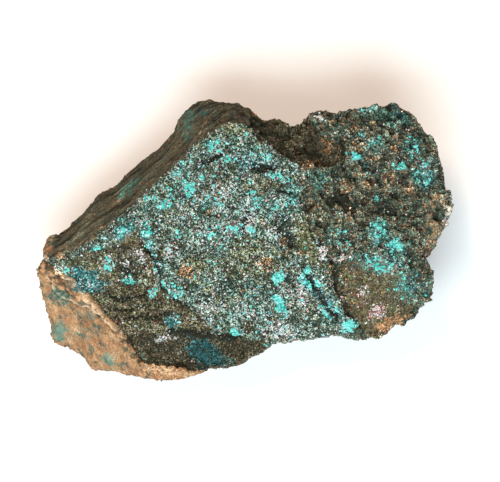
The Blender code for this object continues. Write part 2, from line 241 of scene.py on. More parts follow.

# Thin broken edges that stand up: half width, height, and the line that they follow. Their tops carry a pale
# painted highlight.
RIDGES = (
    (0.24, 0.45, ((-35.6, -6.4), (-33.4, -9.7), (-30.4, -11.3), (-28.2, -12.0), (-26.8, -12.9))),
    (0.20, 0.36, ((-34.6, -4.9), (-31.4, -7.0), (-28.7, -10.4), (-24.2, -14.7), (-22.0, -17.2))),
    (0.25, 0.12, ((-34.0, -3.4), (-26.1, 0.6), (-18.9, 7.1), (-11.7, 14.0), (-5.0, 19.7), (-1.4, 20.9))),
    (0.22, 0.14, ((-6.9, 24.4), (-7.0, 22.6), (-7.4, 20.6), (-8.2, 18.6))),
    (0.22, 0.12, ((-20.8, -13.4), (-18.6, -12.8), (-16.0, -13.4), (-13.2, -12.2))),
    (0.45, 0.50, ((35.4, 7.6), (36.3, 6.0), (36.6, 4.2), (36.0, 2.6))),
    (0.22, 0.35, ((15.2, -3.0), (16.7, -3.6), (18.0, -3.3), (19.3, -1.9))),
    (0.25, 0.12, ((-20.8, -4.4), (-19.6, -2.8), (-18.0, -3.2), (-17.2, -5.0))),
    (0.22, 0.30, ((-6.2, -24.0), (-3.4, -23.9), (-0.8, -22.6))),
    (1.10, 0.14, ((-18.2, -22.9), (-14.0, -23.5), (-9.6, -24.3))),
)

# Patches of each mineral: right, up, half length, half width, turn in degrees, amount.
PATCHES = {
    "teal": (
        (-1.3, 17.1, 3.8, 3.4, 0, 0.14), (-5.2, 16.9, 1.7, 1.2, 20, 0.60),
        (-0.9, 14.9, 3.0, 0.9, 10, 0.40), (3.4, 14.9, 1.3, 1.4, 0, 0.50),
        (-10.8, 12.6, 2.6, 1.3, 45, 0.36), (-15.3, 7.2, 3.0, 1.7, 40, 0.36),
        (-21.8, 1.6, 2.4, 1.0, 50, 0.50), (-9.9, 9.0, 0.8, 1.9, 0, 0.77),
        (-6.8, 11.2, 1.6, 1.2, 0, 0.40), (-13.9, 6.3, 2.0, 1.2, 30, 0.40),
        (-5.9, 7.2, 2.2, 2.0, 0, 0.40), (-4.9, 0.4, 3.5, 2.4, -30, 0.32),
        (-2.0, 2.2, 1.8, 1.2, -20, 0.63), (1.5, 1.6, 0.6, 1.0, 0, 0.95),
        (1.8, 7.2, 1.2, 1.8, 20, 0.59), (5.4, 5.8, 2.5, 1.6, 0, 0.36),
        (8.5, 8.1, 1.2, 2.4, 20, 0.36), (6.3, 11.2, 3.0, 0.9, 0, 0.32),
        (-17.4, 0.6, 0.7, 2.4, 10, 0.72), (-15.9, -4.2, 0.5, 2.8, 20, 0.54),
        (-13.5, -9.0, 3.0, 1.5, -40, 0.44), (-28.6, -7.2, 2.6, 1.0, -30, 0.28),
        (-32.0, -5.0, 1.3, 0.8, -30, 0.48), (-24.8, -4.5, 1.0, 1.6, 0, 0.54),
        (-20.0, -7.2, 1.6, 0.5, -12, 0.60), (-16.7, -9.7, 0.8, 0.4, 0, 0.75),
        (5.7, -7.0, 0.8, 1.0, 20, 1.40), (6.3, -11.5, 0.8, 2.2, 30, 0.77),
        (11.0, -7.8, 2.2, 0.5, -55, 0.75), (13.0, -7.6, 1.4, 0.4, -60, 0.70),
        (11.2, -5.4, 0.7, 0.6, -50, 1.00),
        (14.4, -12.8, 1.8, 0.5, -50, 0.75), (16.6, -12.6, 1.8, 0.5, -55, 0.80),
        (18.6, -15.3, 1.3, 0.8, 20, 1.40),
        (-1.8, -16.6, 0.9, 0.9, 0, 1.00), (0.9, -9.0, 2.2, 1.6, 0, 0.26),
        (-0.9, -12.6, 3.0, 2.0, 0, 0.26), (23.8, 1.4, 1.4, 2.2, 0, 0.77),
        (27.0, -0.9, 1.8, 1.0, -20, 0.68), (24.6, -4.4, 4.6, 1.8, 0, 0.54),
        (19.8, 14.9, 1.1, 0.7, 0, 1.10), (30.6, 16.2, 1.8, 2.8, 20, 0.40),
        (32.4, 12.2, 2.0, 2.2, 0, 0.54), (27.6, 13.4, 1.4, 0.7, 20, 0.72),
        (21.6, 23.6, 2.0, 0.9, 0, 0.32), (21.6, 18.0, 3.2, 2.2, 0, 0.24),
        (18.0, 0.4, 2.6, 1.8, 0, 0.28), (28.8, -8.1, 2.6, 3.2, 0, 0.26),
        (32.4, -9.0, 1.0, 2.0, 0, 0.32), (24.0, 7.6, 0.8, 0.6, 0, 0.50),
        (-25.6, -1.0, 2.4, 0.6, 35, 0.54), (-11.7, 0.9, 1.3, 0.9, 40, 0.44),
        (-12.6, -15.2, 1.0, 1.4, 0, 0.44), (0.0, -5.4, 2.6, 1.4, 0, 0.20),
    ),
    "film": (
        (25.5, 22.2, 6.0, 1.8, -15, 0.70), (23.2, 16.7, 2.2, 1.8, 0, 0.75), (30.1, 17.3, 1.8, 2.4, 0, 0.90),
        (32.0, 11.1, 2.2, 2.0, 0, 0.90), (28.1, 13.1, 1.8, 1.0, 0, 0.70), (13.1, 11.1, 2.0, 2.6, 0, 0.75),
        (23.9, 1.1, 2.6, 2.4, 0, 0.90), (27.2, -1.8, 3.0, 2.0, -20, 0.80), (22.0, -2.9, 3.2, 1.2, 0, 0.65),
        (29.6, -8.0, 2.6, 4.0, 0, 0.60), (-34.2, -16.9, 1.8, 1.8, 0, 0.85),
        (-24.6, -21.8, 2.0, 1.0, -30, 0.75),
        (-33.4, -10.0, 2.4, 1.8, -40, 0.74), (-28.0, -13.8, 1.6, 1.2, 0, 0.55),
        (-29.6, -17.0, 2.2, 1.4, 0, 0.45),
        (8.5, 8.1, 1.6, 3.0, 20, 0.70), (15.4, 1.0, 1.4, 3.0, 0, 0.60), (-0.8, 16.5, 4.4, 3.0, 0, 0.62),
        (-21.3, 9.2, 3.0, 0.9, 45, 0.62), (-10.2, 21.2, 1.3, 3.4, -10, 0.55), (0.5, 5.5, 6.0, 5.0, 0, 0.34),
    ),
    "deep": (
        (-7.8, -20.2, 2.8, 1.7, -25, 1.00), (-5.2, -22.4, 2.6, 1.5, 10, 0.95),
        (11.8, -7.8, 2.8, 1.0, -55, 1.00), (14.8, -11.8, 3.0, 1.0, -55, 0.95),
        (27.5, 22.6, 3.0, 1.6, -35, 0.45),
        (-28.4, -7.4, 3.2, 2.0, -35, 0.90), (-13.0, -15.3, 1.1, 1.5, 0, 0.80),
        (-21.8, 1.8, 2.6, 1.4, 50, 0.70), (1.2, 13.6, 4.6, 1.6, 0, 0.50),
        (-17.4, 0.4, 1.0, 3.0, 10, 0.60), (-9.9, 21.6, 0.9, 3.2, -10, 0.20),
        (-6.8, 23.2, 3.0, 0.9, 0, 0.40), (-21.0, 8.8, 2.2, 1.4, 45, 0.15),
        (-28.5, -3.5, 3.5, 1.2, 20, 0.30),
        (22.0, 13.0, 3.0, 1.6, -20, 0.35), (30.4, -6.6, 2.2, 3.4, 0, 0.40),
        (24.6, -1.4, 3.4, 2.2, 0, 0.30), (6.8, 3.2, 2.0, 2.4, 0, 0.25),
        (33.0, 10.6, 1.6, 2.2, 0, 0.50), (3.4, -12.8, 2.4, 1.0, 30, 0.35),
        (-15.4, -4.6, 0.9, 2.6, 20, 0.50),
    ),
    "pale": (
        (-3.0, 4.0, 5.4, 3.2, 20, 0.11), (0.4, 4.5, 1.6, 2.2, 0, 0.22),
        (-7.2, 0.0, 3.6, 3.0, 0, 0.13), (5.0, 2.2, 2.2, 1.6, -20, 0.16),
        (-4.1, 8.6, 3.4, 2.0, 0, 0.14), (-13.1, -1.8, 1.5, 0.9, 45, 0.37),
        # The next line's two patches paint a highlight along the curved upper edge of the grey slab.
        (13.9, -2.5, 0.7, 0.9, 20, 0.95), (17.2, -3.4, 2.0, 0.25, 8, 0.60),
        (-18.7, -3.2, 1.5, 0.9, -40, 0.32), (-21.4, -4.2, 0.7, 1.0, 0, 0.30),
        (-6.7, -12.6, 1.9, 2.1, 0, 0.18),
        (0.9, -13.5, 4.4, 2.6, 0, 0.13), (9.9, -9.9, 0.9, 3.0, 10, 0.28),
        (6.4, -16.4, 3.2, 1.3, 0, 0.26), (8.1, -9.0, 2.2, 1.6, 0, 0.15),
        (13.0, 22.0, 0.6, 0.4, 0, 0.70), (23.7, -13.0, 1.7, 0.8, 35, 0.60), (-8.2, 13.4, 0.5, 0.4, 0, 0.80),
        (21.2, -9.2, 0.8, 0.7, 0, 0.45), (0.3, 2.6, 0.8, 1.4, 0, 0.60),
        (36.6, 4.2, 0.7, 2.4, 0, 0.25), (-24.3, -4.0, 2.6, 2.0, 0, 0.09),
        (-14.4, -18.0, 1.7, 0.4, 0, 0.31), (-9.8, 6.0, 3.0, 2.0, 30, 0.12),
    ),
    "rust": (
        (-10.3, -5.8, 1.1, 0.8, -20, 1.30), (3.6, -4.3, 1.2, 0.8, -30, 1.00),
        (12.0, 13.5, 1.8, 0.9, 0, 0.70), (18.0, 9.2, 0.9, 1.2, 0, 1.10),
        (26.2, -15.6, 2.4, 1.1, 25, 0.75), (33.8, 1.2, 2.4, 3.2, 0, 0.40),
        (32.6, -1.8, 1.8, 1.0, 0, 0.65), (14.8, 16.8, 1.3, 1.0, 0, 0.70),
        (20.6, 17.0, 1.6, 1.2, 0, 0.65), (11.9, 6.3, 1.6, 0.8, -10, 0.60), (23.0, 14.4, 1.0, 0.8, 0, 0.70),
        (21.8, 10.0, 1.0, 0.8, 30, 0.75), (29.4, 9.0, 1.2, 0.9, 0, 0.65), (26.8, 19.6, 1.2, 0.8, 0, 0.60),
        (-5.0, 9.0, 1.8, 2.0, 0, 0.22), (9.9, 10.4, 2.2, 1.0, 0, 0.30),
        (16.8, -7.2, 1.5, 3.2, 20, 0.35), (17.4, 21.6, 1.6, 0.9, 0, 0.40),
        (29.2, 18.3, 1.4, 1.0, -40, 0.45), (34.4, 6.4, 1.8, 2.4, 0, 0.30),
        (19.4, 20.0, 1.0, 0.8, 0, 0.60), (-33.0, -2.8, 2.2, 0.9, 30, 0.35),
        (-36.2, -1.9, 1.2, 2.6, -15, 0.60),
        (6.4, -2.0, 1.2, 0.8, 0, 0.25), (7.0, -0.3, 0.5, 0.4, 0, 0.80), (-6.4, 5.0, 0.6, 0.6, 0, 0.40),
        (25.6, 10.8, 1.2, 0.9, 0, 0.70), (27.4, 16.6, 1.6, 1.0, 0, 0.50),
        (-2.4, 3.0, 0.5, 0.6, 0, 0.50), (0.2, 3.2, 0.6, 0.7, 0, 0.60),
    ),
    "moss": (
        (-1.4, 18.0, 2.8, 3.0, 0, 0.90), (11.4, 0.4, 2.2, 4.6, 15, 1.00),
        (3.2, 9.6, 2.2, 1.8, 0, 0.50), (2.6, 17.0, 1.6, 1.4, 0, 0.60),
        (20.6, 10.8, 3.0, 1.6, 0, 0.50), (18.6, 21.6, 2.0, 1.2, 0, 0.60),
        (-22.6, -9.6, 1.8, 1.0, 0, 0.50), (1.2, -3.6, 5.0, 4.0, 0, 0.55), (-9.0, -5.0, 4.0, 3.0, 0, 0.40),
    ),
    "dark": (
        # (16.2, 7.2) paints shade in a pit, and (-8.1, -17.1) paints the shadow under the step above the
        # scoop.
        (27.9, 5.2, 5.4, 2.4, 0, 0.28), (16.2, 7.2, 1.8, 1.6, 0, 0.50),
        (7.2, 3.0, 1.4, 1.8, 20, 0.65), (-21.6, -5.6, 2.0, 1.0, -35, 0.35),
        (-8.1, -17.1, 5.2, 0.8, 0, 0.70), (3.0, 12.7, 1.8, 0.5, 0, 0.55),
        (-6.0, 14.4, 1.7, 0.4, 20, 0.60), (0.5, 5.2, 0.5, 0.9, 30, 1.00),
        (-0.4, 3.4, 1.0, 0.4, 30, 0.90), (13.0, 15.6, 2.6, 1.0, -20, 0.70),
        (8.4, -0.9, 0.8, 0.5, 0, 0.90), (9.6, 7.8, 1.4, 0.8, 0, 0.50),
        (17.6, 11.6, 1.6, 1.4, 0, 0.45), (27.0, 9.8, 3.0, 1.6, 0, 0.35),
        (32.0, 7.4, 2.4, 1.4, 0, 0.40), (-25.4, -13.0, 2.6, 1.2, -40, 0.30),
        (-33.4, -9.8, 3.0, 2.4, -40, 0.42), (-27.0, -13.2, 3.8, 0.8, -42, 0.45),
        (-1.3, 16.0, 3.8, 2.4, 0, 0.58),
        (-16.6, -12.0, 3.4, 1.2, -35, 0.35), (-12.0, -14.2, 3.6, 1.0, -30, 0.45),
    ),
    "red": (
        (23.8, -13.0, 1.6, 0.8, 35, 0.40), (20.4, -10.4, 0.8, 1.6, 0, 0.12),
        (9.9, -9.9, 0.8, 2.6, 10, 0.08), (-2.2, 2.6, 0.6, 0.6, 0, 0.25),
        (-13.1, -1.8, 1.4, 0.9, 45, 0.10),
    ),
    "brown": (
        (-28.0, -3.0, 3.6, 1.4, 20, 0.45), (34.6, 3.2, 3.0, 5.6, 0, 1.10),
        (30.6, -1.6, 3.0, 1.4, 30, 0.80), (20.0, 9.0, 4.0, 3.0, 0, 0.85),
    ),
    "smooth": (
        (10.4, 0.2, 1.4, 4.4, 28, 0.45), (6.6, 1.6, 0.9, 1.0, 20, 0.60), (11.4, 6.4, 1.4, 0.6, 0, 0.50),
        (-7.8, -20.2, 2.8, 1.7, -25, 0.60), (-5.2, -22.4, 2.6, 1.5, 10, 0.60),
        (-18.9, -3.8, 2.2, 1.6, -30, 0.30), (34.0, 3.4, 2.8, 4.8, 0, 0.62),
    ),
}


# ---------------------------------------------------------------- sizes and colours


def colour(name, description, red, green, blue):
    """A colour setting."""
    return FloatVectorProperty(
        name=name, description=description, default=(red, green, blue), subtype="COLOR", size=3
    )


class OreSettings(bpy.types.PropertyGroup):
    """Sizes and colours of the lump and its minerals."""

    mesh_size: FloatProperty(
        name="Mesh size", description="Edge of the stone's mesh", default=0.00033, unit="LENGTH"
    )
    triangle_limit: IntProperty(
        name="Triangle limit", description="Triangles the stone may have", default=194000
    )
    fleck_size: FloatProperty(
        name="Fleck size", description="Size of a usual coloured fleck", default=0.00027, unit="LENGTH"
    )
    dioptase_count: IntProperty(
        name="Dioptase crystals", description="Number of dioptase crystals", default=1900
    )
    dioptase_size: FloatProperty(
        name="Dioptase size", description="Length of a usual dioptase crystal", default=0.00038,
        unit="LENGTH",
    )
    quartz_count: IntProperty(
        name="Quartz grains", description="Number of clear and milky quartz grains", default=2400
    )
    quartz_size: FloatProperty(
        name="Quartz size", description="Size of a usual quartz grain", default=0.00026, unit="LENGTH"
    )
    cuprite_count: IntProperty(
        name="Cuprite crystals", description="Number of cuprite crystals", default=560
    )
    cuprite_size: FloatProperty(
        name="Cuprite size", description="Size of a usual cuprite crystal", default=0.0003, unit="LENGTH"
    )
    crumb_count: IntProperty(
        name="Matrix crumbs", description="Number of loose-looking matrix grains", default=3200
    )
    crumb_size: FloatProperty(
        name="Crumb size", description="Size of a usual matrix grain", default=0.00034, unit="LENGTH"
    )
    slate: colour("Slate", "Darkest matrix under the bright face", 0.031, 0.068, 0.053)
    grey: colour("Grey-green", "Lightest matrix under the bright face", 0.096, 0.190, 0.149)
    mauve: colour("Mauve", "Tarnished matrix", 0.070, 0.080, 0.082)
    mint: colour("Mint", "Pale green grains", 0.46, 0.72, 0.72)
    moss: colour("Olive", "Olive matrix", 0.110, 0.116, 0.050)
    brown: colour("Brown", "Dark brown matrix", 0.092, 0.072, 0.042)
    rust: colour("Rust", "Iron staining", 0.46, 0.210, 0.092)
    tan: colour("Tan", "Pale iron staining", 0.60, 0.385, 0.212)
    # Painted highlight on the tops of the ridges.
    ridge_highlight: colour("Cream", "Thin broken edges", 0.72, 0.53, 0.35)
    sage: colour("Sage", "Grey-green film on the staining", 0.110, 0.118, 0.086)
    russet: colour("Russet", "Staining on rough ground", 0.23, 0.120, 0.055)
    umber: colour("Umber", "Darkest iron staining", 0.085, 0.070, 0.044)
    # Black also paints the shade in pits, clefts and cracks.
    black: colour("Black", "Pits and tarnish", 0.014, 0.016, 0.010)
    dioptase: colour("Dioptase", "Bright blue-green dioptase", 0.030, 0.66, 0.60)
    # A painted highlight: the brightest of the dioptase crust, and the bright end of the crystals' tints.
    dioptase_highlight: colour("Aqua", "Brightest edges of the dioptase", 0.30, 0.82, 0.76)
    malachite: colour("Malachite", "Green grains in the dioptase", 0.05, 0.40, 0.20)
    dioptase_deep: colour("Deep dioptase", "Dark blue-green dioptase", 0.026, 0.135, 0.148)
    # A painted highlight on the brightest grains.
    grain_highlight: colour("Frost", "Grains that catch the light", 0.40, 0.52, 0.49)
    quartz: colour("Quartz", "Pale grains", 0.74, 0.82, 0.84)
    patina: colour("Patina", "Thin blue-green film", 0.075, 0.235, 0.195)
    blush: colour("Blush", "Pale grains stained by cuprite", 0.62, 0.38, 0.36)
    cuprite: colour("Cuprite", "Dark red cuprite", 0.26, 0.022, 0.018)


class StageSettings(bpy.types.PropertyGroup):
    """The table, the lights and the camera."""

    floor: colour("Floor", "Colour of the table", 0.9, 0.9, 0.9)
    window_power: FloatProperty(
        name="Window", description="Power of the cool light in front", default=10.8, unit="POWER"
    )
    lamp_power: FloatProperty(
        name="Lamp", description="Power of the warm light at the left", default=4.6, unit="POWER"
    )
    sky: FloatProperty(name="Sky", description="Strength of the light from all round", default=0.28)
    camera_distance: FloatProperty(
        name="Camera distance", description="From the middle of the broad face", default=0.8, unit="LENGTH"
    )
    view_width: FloatProperty(
        name="View width", description="Width of what the camera sees at the broad face", default=0.09,
        unit="LENGTH",
    )


# ---------------------------------------------------------------- shader nodes


def add(tree, kind, inputs, **settings):
    """A new node with its settings, its values and what is linked into it."""
    node = tree.nodes.new(kind)
    for name, value in settings.items():
        setattr(node, name, value)
    for key, value in inputs.items():
        if isinstance(value, bpy.types.NodeSocket):
            tree.links.new(value, node.inputs[key])
        else:
            node.inputs[key].default_value = value
    return node


def maths(tree, operation, first, second=0.0, clamp=False):
    """One sum of two numbers."""
    node = add(tree, "ShaderNodeMath", {0: first, 1: second}, operation=operation, use_clamp=clamp)
    return node.outputs[0]


def plus(tree, first, second):
    """Two numbers added."""
    return maths(tree, "ADD", first, second)


def times(tree, first, second):
    """Two numbers multiplied."""
    return maths(tree, "MULTIPLY", first, second)


def scaled(tree, value, gain, lift=0.0):
    """A value times a gain, plus a lift."""
    return add(tree, "ShaderNodeMath", {0: value, 1: gain, 2: lift}, operation="MULTIPLY_ADD").outputs[0]


def ramp(tree, value, low, high):
    """Value from 0 at low to 1 at high, eased."""
    node = add(
        tree, "ShaderNodeMapRange", {"Value": value, "From Min": low, "From Max": high},
        interpolation_type="SMOOTHSTEP",
    )
    return node.outputs["Result"]


def moved(tree, operation, place, by):
    """A place or direction with another added to it or taken from it."""
    return add(tree, "ShaderNodeVectorMath", {0: place, 1: by}, operation=operation).outputs[0]


def stretched(tree, place, gain):
    """A place or direction times a number."""
    return add(tree, "ShaderNodeVectorMath", {0: place, "Scale": gain}, operation="SCALE").outputs[0]


def blend(tree, share, first, second, mode="MIX"):
    """First colour going over to the second. Each is a socket or a colour setting."""
    pair = [
        side if isinstance(side, bpy.types.NodeSocket) else (*side, 1.0) for side in (first, second)
    ]
    node = add(tree, "ShaderNodeMix", {0: share, 6: pair[0], 7: pair[1]}, data_type="RGBA", blend_type=mode)
    return node.outputs[2]


def grey_tone(tree, value):
    """A number as a grey."""
    return add(tree, "ShaderNodeCombineColor", {0: value, 1: value, 2: value}).outputs[0]


def painted(tree, name):
    """What the mesh carries under a name."""
    return add(tree, "ShaderNodeAttribute", {}, attribute_name=name).outputs["Fac"]


def new_group(name, values, outputs, kind="NodeSocketFloat"):
    """A new shader node group that reads a place and some values, with its own input and output sockets."""
    tree = bpy.data.node_groups.new(name, "ShaderNodeTree")
    tree.interface.new_socket("Place", in_out="INPUT", socket_type="NodeSocketVector")
    for label, value in values.items():
        socket = tree.interface.new_socket(label, in_out="INPUT", socket_type="NodeSocketFloat")
        socket.default_value = value
    for label in outputs:
        tree.interface.new_socket(label, in_out="OUTPUT", socket_type=kind)
    return tree, tree.nodes.new("NodeGroupInput").outputs, tree.nodes.new("NodeGroupOutput").inputs


def fleck_group():
    """Flecks of one mineral: cells of one size, of which a given share is taken."""
    tree, given, out = new_group("Flecks", {"Size": 0.4, "Share": 0.3, "Shift": 0.0}, ("Mask", "Shade"))
    shifted = moved(tree, "ADD", given["Place"], given["Shift"])
    cell_place = stretched(tree, shifted, maths(tree, "DIVIDE", 1.0, given["Size"]))
    eddy = add(tree, "ShaderNodeTexNoise", {"Vector": cell_place, "Scale": 0.9, "Detail": 1.0})
    bent = moved(tree, "ADD", cell_place, stretched(tree, eddy.outputs["Color"], 2.4))
    cells = add(tree, "ShaderNodeTexVoronoi", {"Vector": bent, "Scale": 1.0})
    parts = add(tree, "ShaderNodeSeparateColor", {0: cells.outputs["Color"]})
    margin = maths(tree, "SUBTRACT", given["Share"], parts.outputs[0])
    tree.links.new(ramp(tree, margin, 0.0, 0.03), out["Mask"])
    tree.links.new(parts.outputs[1], out["Shade"])
    return tree


def thread_group():
    """Short winding threads: painted highlights on the thin bright edges of broken crystals, and painted
    shade in thin dark clefts.
    """
    tree, given, out = new_group("Threads", {"Size": 0.5, "Share": 0.3, "Shift": 0.0}, ("Mask",))
    shifted = moved(tree, "ADD", given["Place"], given["Shift"])
    per_size = maths(tree, "DIVIDE", 1.0, given["Size"])
    winding = add(
        tree, "ShaderNodeTexNoise", {"Vector": shifted, "Scale": per_size, "Detail": 1.0, "Distortion": 0.6}
    )
    off_line = maths(tree, "ABSOLUTE", scaled(tree, winding.outputs["Fac"], 1.0, -0.5))
    lengths = add(
        tree, "ShaderNodeTexNoise",
        {"Vector": shifted, "Scale": scaled(tree, per_size, 1.3), "Detail": 0.0},
    )
    here = times(tree, given["Share"], ramp(tree, lengths.outputs["Fac"], 0.35, 0.65))
    margin = maths(tree, "SUBTRACT", scaled(tree, here, 0.16), off_line)
    tree.links.new(ramp(tree, margin, -0.01, 0.025), out["Mask"])
    return tree


def mottle_group():
    """Slow clouds of a given size, as a value around a half."""
    tree, given, out = new_group("Mottle", {"Size": 2.0, "Detail": 4.0, "Contrast": 1.0}, ("Value",))
    per_size = maths(tree, "DIVIDE", 1.0, given["Size"])
    cloud = add(
        tree, "ShaderNodeTexNoise",
        {"Vector": given["Place"], "Scale": per_size, "Detail": given["Detail"], "Roughness": 0.62},
    )
    swing = times(tree, maths(tree, "SUBTRACT", cloud.outputs["Fac"], 0.5), given["Contrast"])
    tree.links.new(maths(tree, "ADD", swing, 0.5, clamp=True), out["Value"])
    return tree


def streak_group():
    """Fine scratches that run along the beds of the back wall."""
    tree, given, out = new_group("Streaks", {}, ("Value",))
    turn = math.radians(BED_TURN)
    along = RIGHT * math.cos(turn) + UP * math.sin(turn)
    across = UP * math.cos(turn) - RIGHT * math.sin(turn)
    parts = {}
    for i, (axis, size) in enumerate(((along, 5.0), (across, 0.45), (OUT, 0.9))):
        part = add(
            tree, "ShaderNodeVectorMath", {0: given["Place"], 1: tuple(axis / size)}, operation="DOT_PRODUCT"
        )
        parts[i] = part.outputs["Value"]
    bed_place = add(tree, "ShaderNodeCombineXYZ", parts).outputs[0]
    lines = add(
        tree, "ShaderNodeTexNoise", {"Vector": bed_place, "Scale": 1.0, "Detail": 4.0, "Roughness": 0.7}
    )
    swing = scaled(tree, lines.outputs["Fac"], 3.0, -1.0)
    tree.links.new(maths(tree, "MINIMUM", maths(tree, "MAXIMUM", swing, 0.0), 1.0), out["Value"])
    return tree


def facet_group():
    """Grain that catches the light: each cell tilts its own way over a fine bump."""
    tree, given, out = new_group(
        "Facets", {"Size": 0.4, "Tilt": 0.5, "Bump": 0.4}, ("Normal",), "NodeSocketVector"
    )
    cell_place = stretched(tree, given["Place"], maths(tree, "DIVIDE", 1.0, given["Size"]))
    cells = add(tree, "ShaderNodeTexVoronoi", {"Vector": cell_place, "Scale": 1.0})
    grit = add(
        tree, "ShaderNodeTexNoise",
        {"Vector": given["Place"], "Scale": 2.6, "Detail": 6.0, "Roughness": 0.7},
    )
    rough = add(
        tree, "ShaderNodeBump",
        {"Strength": given["Bump"], "Distance": 0.0003, "Height": grit.outputs["Fac"]},
    )
    lean = moved(tree, "SUBTRACT", cells.outputs["Color"], (0.5, 0.5, 0.5))
    total = moved(tree, "ADD", stretched(tree, lean, given["Tilt"]), rough.outputs[0])
    unit = add(tree, "ShaderNodeVectorMath", {0: total}, operation="NORMALIZE")
    tree.links.new(unit.outputs[0], out["Normal"])
    return tree


def placed(tree, name, maker, **inputs):
    """The outputs of a node group that several materials use. The group is built at its first use."""
    made = bpy.data.node_groups.get(name) or maker()
    return add(tree, "ShaderNodeGroup", inputs, node_tree=made).outputs


def clouded(tree, at, size, detail, contrast):
    """Slow clouds, with a size in millimetres, as a value around a half."""
    clouds_of = placed(tree, "Mottle", mottle_group, Place=at, Size=size, Detail=detail, Contrast=contrast)
    return clouds_of["Value"]


def flecked(tree, ore, at, size, share, shift):
    """The mask and the shade of one mineral's flecks, their size as a number of usual flecks."""
    millimetres = size * (ore.fleck_size / MM)
    return placed(tree, "Flecks", fleck_group, Place=at, Size=millimetres, Share=share, Shift=shift)


def threaded(tree, at, size, share, shift):
    """The mask of short winding threads, with a size in millimetres."""
    return placed(tree, "Threads", thread_group, Place=at, Size=size, Share=share, Shift=shift)["Mask"]


def faceted(tree, at, size, tilt, bump):
    """The normal of grain that catches the light, with a size in millimetres."""
    return placed(tree, "Facets", facet_group, Place=at, Size=size, Tilt=tilt, Bump=bump)["Normal"]


# ---------------------------------------------------------------- materials


def new_material(name):
    """An empty material, its tree, its Principled BSDF and the place on the stone in millimetres."""
    material = bpy.data.materials.new(name)
    material.use_nodes = True
    tree = material.node_tree
    where = add(tree, "ShaderNodeTexCoord", {}).outputs["Object"]
    return material, tree, tree.nodes["Principled BSDF"], stretched(tree, where, 1.0 / MM)


def ground_colour(tree, ore, at, share, rough_ground):
    """The matrix and its staining before any single grain is picked out."""

    def frayed(name, size, low, high):
        """A mineral's share, broken up by clouds of its own."""
        return ramp(tree, plus(tree, share[name], clouded(tree, at, size, 5.0, 1.7)), low, high)

    depth = clouded(tree, at, size=1.3, detail=6.0, contrast=2.4)
    base = blend(tree, depth, ore.slate, ore.grey)
    veil = clouded(tree, at, size=4.0, detail=4.0, contrast=4.0)
    base = blend(tree, scaled(tree, veil, 0.35), base, ore.mauve)
    base = blend(tree, frayed("moss", 1.6, 0.55, 1.05), base, ore.moss)
    base = blend(tree, frayed("brown", 1.3, 0.60, 1.10), base, ore.brown)
    base = blend(tree, frayed("rust", 1.0, 0.62, 1.00), base, stain_colour(tree, ore, at, rough_ground))
    leaf = painted(tree, "bed")
    base = blend(tree, scaled(tree, ramp(tree, leaf, 0.56, 0.80), 0.18), base, ore.sage)
    base = blend(tree, scaled(tree, ramp(tree, leaf, 0.44, 0.20), 0.45), base, ore.black)
    # Pale painted highlight along the tops of the ridges.
    ridge_highlight_share = ramp(tree, painted(tree, "edge"), 0.05, 0.30)
    base = blend(tree, scaled(tree, ridge_highlight_share, 0.75), base, ore.ridge_highlight)
    base = blend(tree, scaled(tree, frayed("film", 0.8, 0.72, 1.30), 0.75), base, ore.patina)
    return blend(tree, scaled(tree, frayed("deep", 0.9, 0.80, 1.15), 0.92), base, ore.dioptase_deep)


def stain_colour(tree, ore, at, rough_ground):
    """Iron staining: rust and tan in clouds, umber streaks, and grey-green spots."""
    wide = clouded(tree, at, size=2.6, detail=5.0, contrast=3.0)
    narrow = clouded(tree, at, size=0.9, detail=4.0, contrast=3.2)
    spots = clouded(tree, at, size=1.9, detail=5.0, contrast=3.6)
    stain = blend(tree, wide, ore.rust, ore.tan)
    stain = blend(tree, scaled(tree, narrow, 0.38, 0.08), stain, ore.umber)
    stain = blend(tree, scaled(tree, rough_ground, 0.8), stain, ore.russet)
    return blend(tree, ramp(tree, spots, 0.60, 1.0), stain, ore.sage)


def grain_brightness(tree, ore, at, share, rough_ground, lively):
    """How much lighter or darker than its mineral each grain is: fine on the faces, larger where chunky,
    with painted light on the crests of the grain and painted shade in its hollows.
    """
    chunky = share["chunky"]
    fine = flecked(tree, ore, at, size=0.7, share=1.0, shift=11.0)["Shade"]
    coarse = flecked(tree, ore, at, size=2.2, share=1.0, shift=23.0)["Shade"]
    clump = flecked(tree, ore, at, size=4.4, share=1.0, shift=29.0)["Shade"]
    chunks = plus(tree, scaled(tree, coarse, 1.0, -0.5), scaled(tree, clump, 0.6, -0.3))
    chunks = times(tree, chunks, scaled(tree, chunky, 0.5, 0.45))
    swing = plus(tree, scaled(tree, fine, 5.4, -2.7), chunks)
    amount = times(tree, scaled(tree, rough_ground, 0.85, 0.10), scaled(tree, lively, 0.6, 0.62))
    amount = times(tree, amount, scaled(tree, chunky, -0.14, 1.0))
    swing = times(tree, swing, amount)
    streaks = placed(tree, "Streaks", streak_group, Place=at)["Value"]
    swing = plus(tree, swing, times(tree, scaled(tree, streaks, 1.0, -0.55), share["bedded"]))
    bright = maths(tree, "POWER", math.e, swing)
    # Painted light and shade: lighter on the grain's crests, darker in its hollows.
    rise = scaled(tree, painted(tree, "crest"), 1.0, -CREST_MIDDLE)
    rise = times(tree, rise, scaled(tree, chunky, 0.28, 0.48))
    bright = times(tree, bright, maths(tree, "MAXIMUM", scaled(tree, rise, 1.0, 0.54), 0.05))
    level = times(tree, scaled(tree, rough_ground, -0.30, 1.43), scaled(tree, chunky, -0.20, 1.0))
    return times(tree, bright, level)


